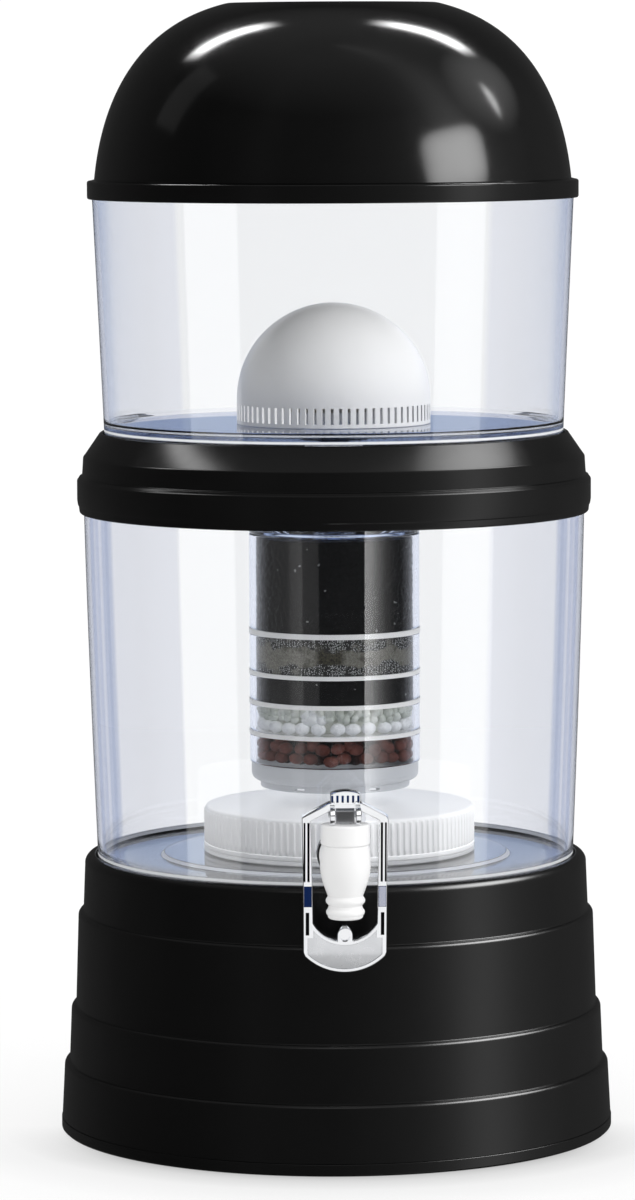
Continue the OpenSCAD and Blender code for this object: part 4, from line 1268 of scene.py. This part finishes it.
def make_floor():
    n = Nodes("studio_floor")
    color = n.mix(n.noise(2.0, 2.0), (0.90, 0.90, 0.90), (0.93, 0.93, 0.93))
    rim = [(1.7 * math.cos(2 * PI * i / 96), 1.7 * math.sin(2 * PI * i / 96), -0.0002) for i in range(96)]
    me = bpy.data.meshes.new("floor")
    me.from_pydata(rim, [], [tuple(range(96))])
    fl = bpy.data.objects.new("floor", me)
    SCENE.collection.objects.link(fl)
    # a soft shadow hugs the front of the stand
    sep = n.t.nodes.new("ShaderNodeSeparateXYZ")
    n.link(n.coord, sep.inputs[0])
    r = n.math("SQRT", n.math("ADD", n.math("POWER", sep.outputs["X"], 2.0), n.math("POWER", sep.outputs["Y"], 2.0)))
    near = n.ramp(n.span(r, 0.1405, 0.215, 0.0, 1.0),
                  [(0.0, (0.64, 0.64, 0.64)), (0.14, (0.78, 0.78, 0.78)), (0.42, (0.93, 0.93, 0.93)), (1.0, (1.0, 1.0, 1.0))])
    shade = n.mix(n.span(sep.outputs["Y"], 0.0, -0.09, 0.0, 1.0), (1.0, 1.0, 1.0), near)
    lit = n.shader(n.mix(1.0, color, shade, "MULTIPLY"), 0.9, 0.0, 0.0)
    glow = n.t.nodes.new("ShaderNodeEmission")
    n.link(shade, glow.inputs["Color"])
    glow.inputs["Strength"].default_value = 1.03
    mx = n.t.nodes.new("ShaderNodeMixShader")
    mx.inputs[0].default_value = 0.70
    n.link(lit, mx.inputs[1])
    n.link(glow.outputs[0], mx.inputs[2])
    # mirrors look past it, into the room
    lp = n.t.nodes.new("ShaderNodeLightPath")
    see = n.math("GREATER_THAN", lp.outputs["Glossy Depth"], 0.5)
    air = n.t.nodes.new("ShaderNodeBsdfTransparent")
    mx2 = n.t.nodes.new("ShaderNodeMixShader")
    n.link(see, mx2.inputs[0])
    n.link(mx.outputs[0], mx2.inputs[1])
    n.link(air.outputs[0], mx2.inputs[2])
    me.materials.append(n.done(mx2.outputs[0]))
    return fl


def area(name, loc, target, sx, sy, radiance, roll=0.0, glossy=True, diffuse=True, color=(1, 1, 1), to=None, shadow=True):
    """An area lamp of the given radiance, facing target; to limits it to some pieces."""
    li = bpy.data.lights.new(name, "AREA")
    li.shape = "RECTANGLE"
    li.size = sx
    li.size_y = sy
    li.energy = radiance * PI * sx * sy
    li.color = color
    li.use_shadow = shadow
    ob = bpy.data.objects.new(name, li)
    SCENE.collection.objects.link(ob)
    loc, target = Vector(loc), Vector(target)
    q = (target - loc).to_track_quat("-Z", "Y")
    ob.matrix_world = Matrix.Translation(loc) @ q.to_matrix().to_4x4() @ Matrix.Rotation(roll, 4, "Z")
    ob.visible_camera = False
    ob.visible_glossy = glossy
    ob.visible_diffuse = diffuse
    ob.visible_transmission = False
    if to is not None:
        coll = bpy.data.collections.new(name + "_pieces")
        for o in to:
            coll.objects.link(o)
        ob.light_linking.receiver_collection = coll
    return ob


def strip(name, d0, d1, width, radiance, dist=2.6, origin=(0, -0.075, 0.54), to=None):
    """A long lamp seen from origin between the directions d0 and d1, in reflections only."""
    o = Vector(origin)
    a, b = o + Vector(d0).normalized() * dist, o + Vector(d1).normalized() * dist
    mid = (a + b) / 2
    axis = (b - a).normalized()
    z = (mid - o).normalized()
    x = axis
    y = z.cross(x).normalized()
    x = y.cross(z).normalized()
    li = bpy.data.lights.new(name, "AREA")
    li.shape = "RECTANGLE"
    li.size = (b - a).length
    li.size_y = width
    li.energy = radiance * PI * li.size * li.size_y
    ob = bpy.data.objects.new(name, li)
    SCENE.collection.objects.link(ob)
    r = Matrix((x, y, z)).transposed().to_4x4()
    ob.matrix_world = Matrix.Translation(mid) @ r
    ob.visible_camera = False
    ob.visible_diffuse = False
    ob.visible_transmission = False
    if to is not None:
        coll = bpy.data.collections.new(name + "_pieces")
        for p in to:
            coll.objects.link(p)
        ob.light_linking.receiver_collection = coll
    return ob


def shaped(ob, kind="oval", power=1.0, edge_u=0.3, edge_v=0.3, profile=None):
    """Gives a lamp a soft outline: an oval, a rounded square, a bar with faded ends, or a profile along its width."""
    li = ob.data
    li.use_nodes = True
    t = li.node_tree
    em = next(n for n in t.nodes if n.type == "EMISSION")
    uv = t.nodes.new("ShaderNodeTexCoord").outputs["UV"]
    sep = t.nodes.new("ShaderNodeSeparateXYZ")
    t.links.new(uv, sep.inputs[0])

    def m(op, a, b=0.0):
        n = t.nodes.new("ShaderNodeMath")
        n.operation = op
        for sock, v in ((n.inputs[0], a), (n.inputs[1], b)):
            if hasattr(v, "is_linked"):
                t.links.new(v, sock)
            else:
                sock.default_value = v
        return n.outputs[0]

    def ease(v, a, b):
        n = t.nodes.new("ShaderNodeMapRange")
        n.interpolation_type = "SMOOTHSTEP"
        t.links.new(v, n.inputs["Value"])
        n.inputs["From Min"].default_value = a
        n.inputs["From Max"].default_value = b
        return n.outputs["Result"]

    u, v = sep.outputs["X"], sep.outputs["Y"]
    if kind in ("oval", "round"):
        a = m("SUBTRACT", m("MULTIPLY", u, 2.0), 1.0)
        b = m("SUBTRACT", m("MULTIPLY", v, 2.0), 1.0)
        if kind == "round":
            a, b = m("MULTIPLY", a, a), m("MULTIPLY", b, b)
        r2 = m("ADD", m("MULTIPLY", a, a), m("MULTIPLY", b, b))
        val = m("POWER", m("MAXIMUM", m("SUBTRACT", 1.0, r2), 0.0), power)
    else:
        du = m("MINIMUM", u, m("SUBTRACT", 1.0, u))
        dv = m("MINIMUM", v, m("SUBTRACT", 1.0, v))
        val = m("MULTIPLY", ease(du, 0.0, edge_u), ease(dv, 0.0, edge_v))
    if profile:
        n = t.nodes.new("ShaderNodeValToRGB")
        e = n.color_ramp.elements
        while len(e) < len(profile):
            e.new(0.5)
        for i, (q, c) in enumerate(profile):
            e[i].position = q
            e[i].color = (c, c, c, 1)
        t.links.new(u, n.inputs["Fac"])
        val = m("MULTIPLY", n.outputs["Color"], ease(dv, 0.0, edge_v))
    t.links.new(val, em.inputs["Strength"])
    return ob


def azel(az, el, dist, origin=(0, 0, 0.35)):
    """A point at azimuth az degrees to the right of the camera's side and el degrees up."""
    a, e = math.radians(az), math.radians(el)
    o = Vector(origin)
    return o + Vector((math.sin(a) * math.cos(e), -math.cos(a) * math.cos(e), math.sin(e))) * dist


make_world()
FLOOR = make_floor()


def gap_profile():
    """Brightness across the panel in front of the lower tank, from what its wall mirrors at each position."""
    r, d, half = 0.1245, 0.9, 0.8
    px = [(-62, 0.0), (-50, 0.0), (-43, 0.5), (-38, 0.5), (-25.5, 0.5), (-24.5, 0.6), (-23, 1.0), (-18, 1.4), (-17.2, 0.55),
          (-9.8, 0.45), (-9.2, 0.0), (12.9, 0.0), (13.2, 6.2), (15.5, 6.0), (18, 3.9), (20.5, 2.1), (23.5, 0.8), (27, 0.2), (30, 0.0),
          (60, 0.0)]
    out = []
    for x, v in px:
        phi = math.asin(max(-1.0, min(1.0, x * MM / r)))
        t = (d - r * math.cos(phi)) / max(0.2, math.cos(2 * phi))
        u = (r * math.sin(phi) + t * math.sin(2 * phi) + half) / (2 * half)
        out.append((max(0.0, min(1.0, u)), v / 6.2))
    return out


GAP = gap_profile()
lid_set = [PIECES["lid_v"]]
ring_set = [PIECES["mid_ring_v"]]
tanks = [PIECES[k] for k in ("lower_tank_v", "upper_tank_v")]
lower = [PIECES["lower_tank_v"]]
base_set = [PIECES[k] for k in ("base_stand_v", "foot_ring_v")]
taps = [PIECES[k] for k in ("tap_body_v", "tap_bonnet_v")]
whites = [PIECES[k] for k in ("cartridge_bottom_cap_v", "white_balls_v", "silica_bed_v",
                              "separator_1", "separator_2", "separator_3", "separator_4")]
metal = [PIECES[k] for k in ("lever_frame_v", "lever_pad_v")]
TOP = (0, -0.05, 0.5)
# broad soft light, not seen in reflections
area("key", azel(60, 30, 2.6), (0, 0, 0.3), 1.6, 1.6, 1.6, glossy=False)
area("fill", azel(-60, 25, 3.0), (0, 0, 0.3), 1.6, 1.6, 0.2, glossy=False)
area("white_key", azel(60, 38, 2.6), (0, 0, 0.3), 1.3, 1.3, 5.2, glossy=False, to=whites, shadow=False)
area("tap_key", azel(60, 38, 2.6), (0, 0, 0.3), 1.3, 1.3, 4.1, glossy=False, to=taps, shadow=False)
area("ground", (0.0, 1.3, 2.6), (0, 0, 0), 2.4, 2.4, 0.62, glossy=False, to=[FLOOR])
area("dome_key", azel(66, 30, 2.6), (0, 0, 0.37), 1.3, 1.3, 13.0, glossy=False, to=[PIECES["dome_cover_v"]], shadow=False)
area("case_key", azel(74, 42, 2.6), (0, 0, 0.15), 1.0, 1.0, 13.0, glossy=False, to=[PIECES["stone_case_lid_v"]], shadow=False)
# the long lamps that the lid mirrors
shaped(strip("arc_left", (-0.65, 0.39, 0.64), (-0.16, 0.50, 0.85), 0.44, 21.0, to=lid_set), "bar", edge_u=0.3, edge_v=0.3)
shaped(strip("arc_right", (0.13, 0.48, 0.87), (0.65, 0.37, 0.66), 0.44, 21.0, to=lid_set), "bar", edge_u=0.3, edge_v=0.3)
shaped(strip("streak", (0.79, 0.16, 0.60), (0.92, 0.13, 0.36), 0.25, 9.0, to=lid_set), "oval")
shaped(area("window", azel(61.5, 16, 3.0, TOP), TOP, 1.95, 1.15, 7.6, diffuse=False, to=lid_set), "round", power=0.75)
shaped(area("glow_right", azel(102, 36, 3.0, TOP), TOP, 2.4, 2.0, 0.9, diffuse=False, to=lid_set), "oval")
shaped(area("left_wall", azel(-98, 34, 3.0, TOP), TOP, 0.9, 1.6, 0.17, diffuse=False, to=lid_set), "bar", edge_u=0.1,
       edge_v=0.1)
# the sloped shoulder of the ring, and the rounded steps of the base
shaped(area("ring_right", azel(92, 50, 2.6, (0, 0, 0.34)), (0, 0, 0.34), 2.0, 2.0, 6.0, diffuse=False, to=ring_set), "oval")
shaped(area("ring_left", azel(-101, 46, 2.6, (0, 0, 0.34)), (0, 0, 0.34), 0.75, 1.8, 5.5, diffuse=False, to=ring_set), "bar",
       edge_u=0.4)
shaped(area("base_right", azel(82, 42, 2.6, (0, 0, 0.1)), (0, 0, 0.1), 2.8, 1.8, 15.0, diffuse=False, to=base_set), "oval")
shaped(area("base_front", azel(0, 48, 2.6, (0, 0, 0.1)), (0, 0, 0.1), 2.6, 1.0, 0.8, diffuse=False, to=base_set), "oval")
# bright panels mirrored by the tanks' walls
shaped(area("tank_left", azel(-61, -4, 2.4, (0, 0, 0.3)), (0, 0, 0.3), 1.3, 3.2, 2.4, diffuse=False, to=tanks), "bar",
       edge_u=0.06, edge_v=0.02)
shaped(area("tank_right", azel(61, -4, 2.4, (0, 0, 0.3)), (0, 0, 0.3), 1.2, 3.2, 2.2, diffuse=False, to=tanks), "bar",
       edge_u=0.06, edge_v=0.02)
shaped(area("gap", (0, -0.9, 0.02), (0, 0, 0.02), 1.6, 1.0, 6.2, diffuse=False, to=lower), "bar", edge_v=0.02,
       profile=GAP)
# the metal lever mirrors a white table and wall
area("metal_front", azel(0, -20, 1.2, (0, -0.17, 0.15)), (0, -0.17, 0.15), 2.4, 1.3, 0.95, diffuse=False, to=metal)
area("metal_top", azel(20, 50, 1.2, (0, -0.17, 0.15)), (0, -0.17, 0.15), 1.6, 1.2, 1.2, diffuse=False, to=metal)
area("glint", azel(20, -26, 0.9, (0.018, -0.165, 0.14)), (0.018, -0.165, 0.14), 1.1, 0.9, 11.0, diffuse=False,
     to=[PIECES["lever_insert_right_v"]])

SCENE.cycles.transparent_max_bounces = 24
SCENE.cycles.max_bounces = 16
SCENE.cycles.transmission_bounces = 14
SCENE.cycles.glossy_bounces = 6
SCENE.cycles.diffuse_bounces = 4
SCENE.view_settings.view_transform = "Standard"
SCENE.view_settings.look = "None"
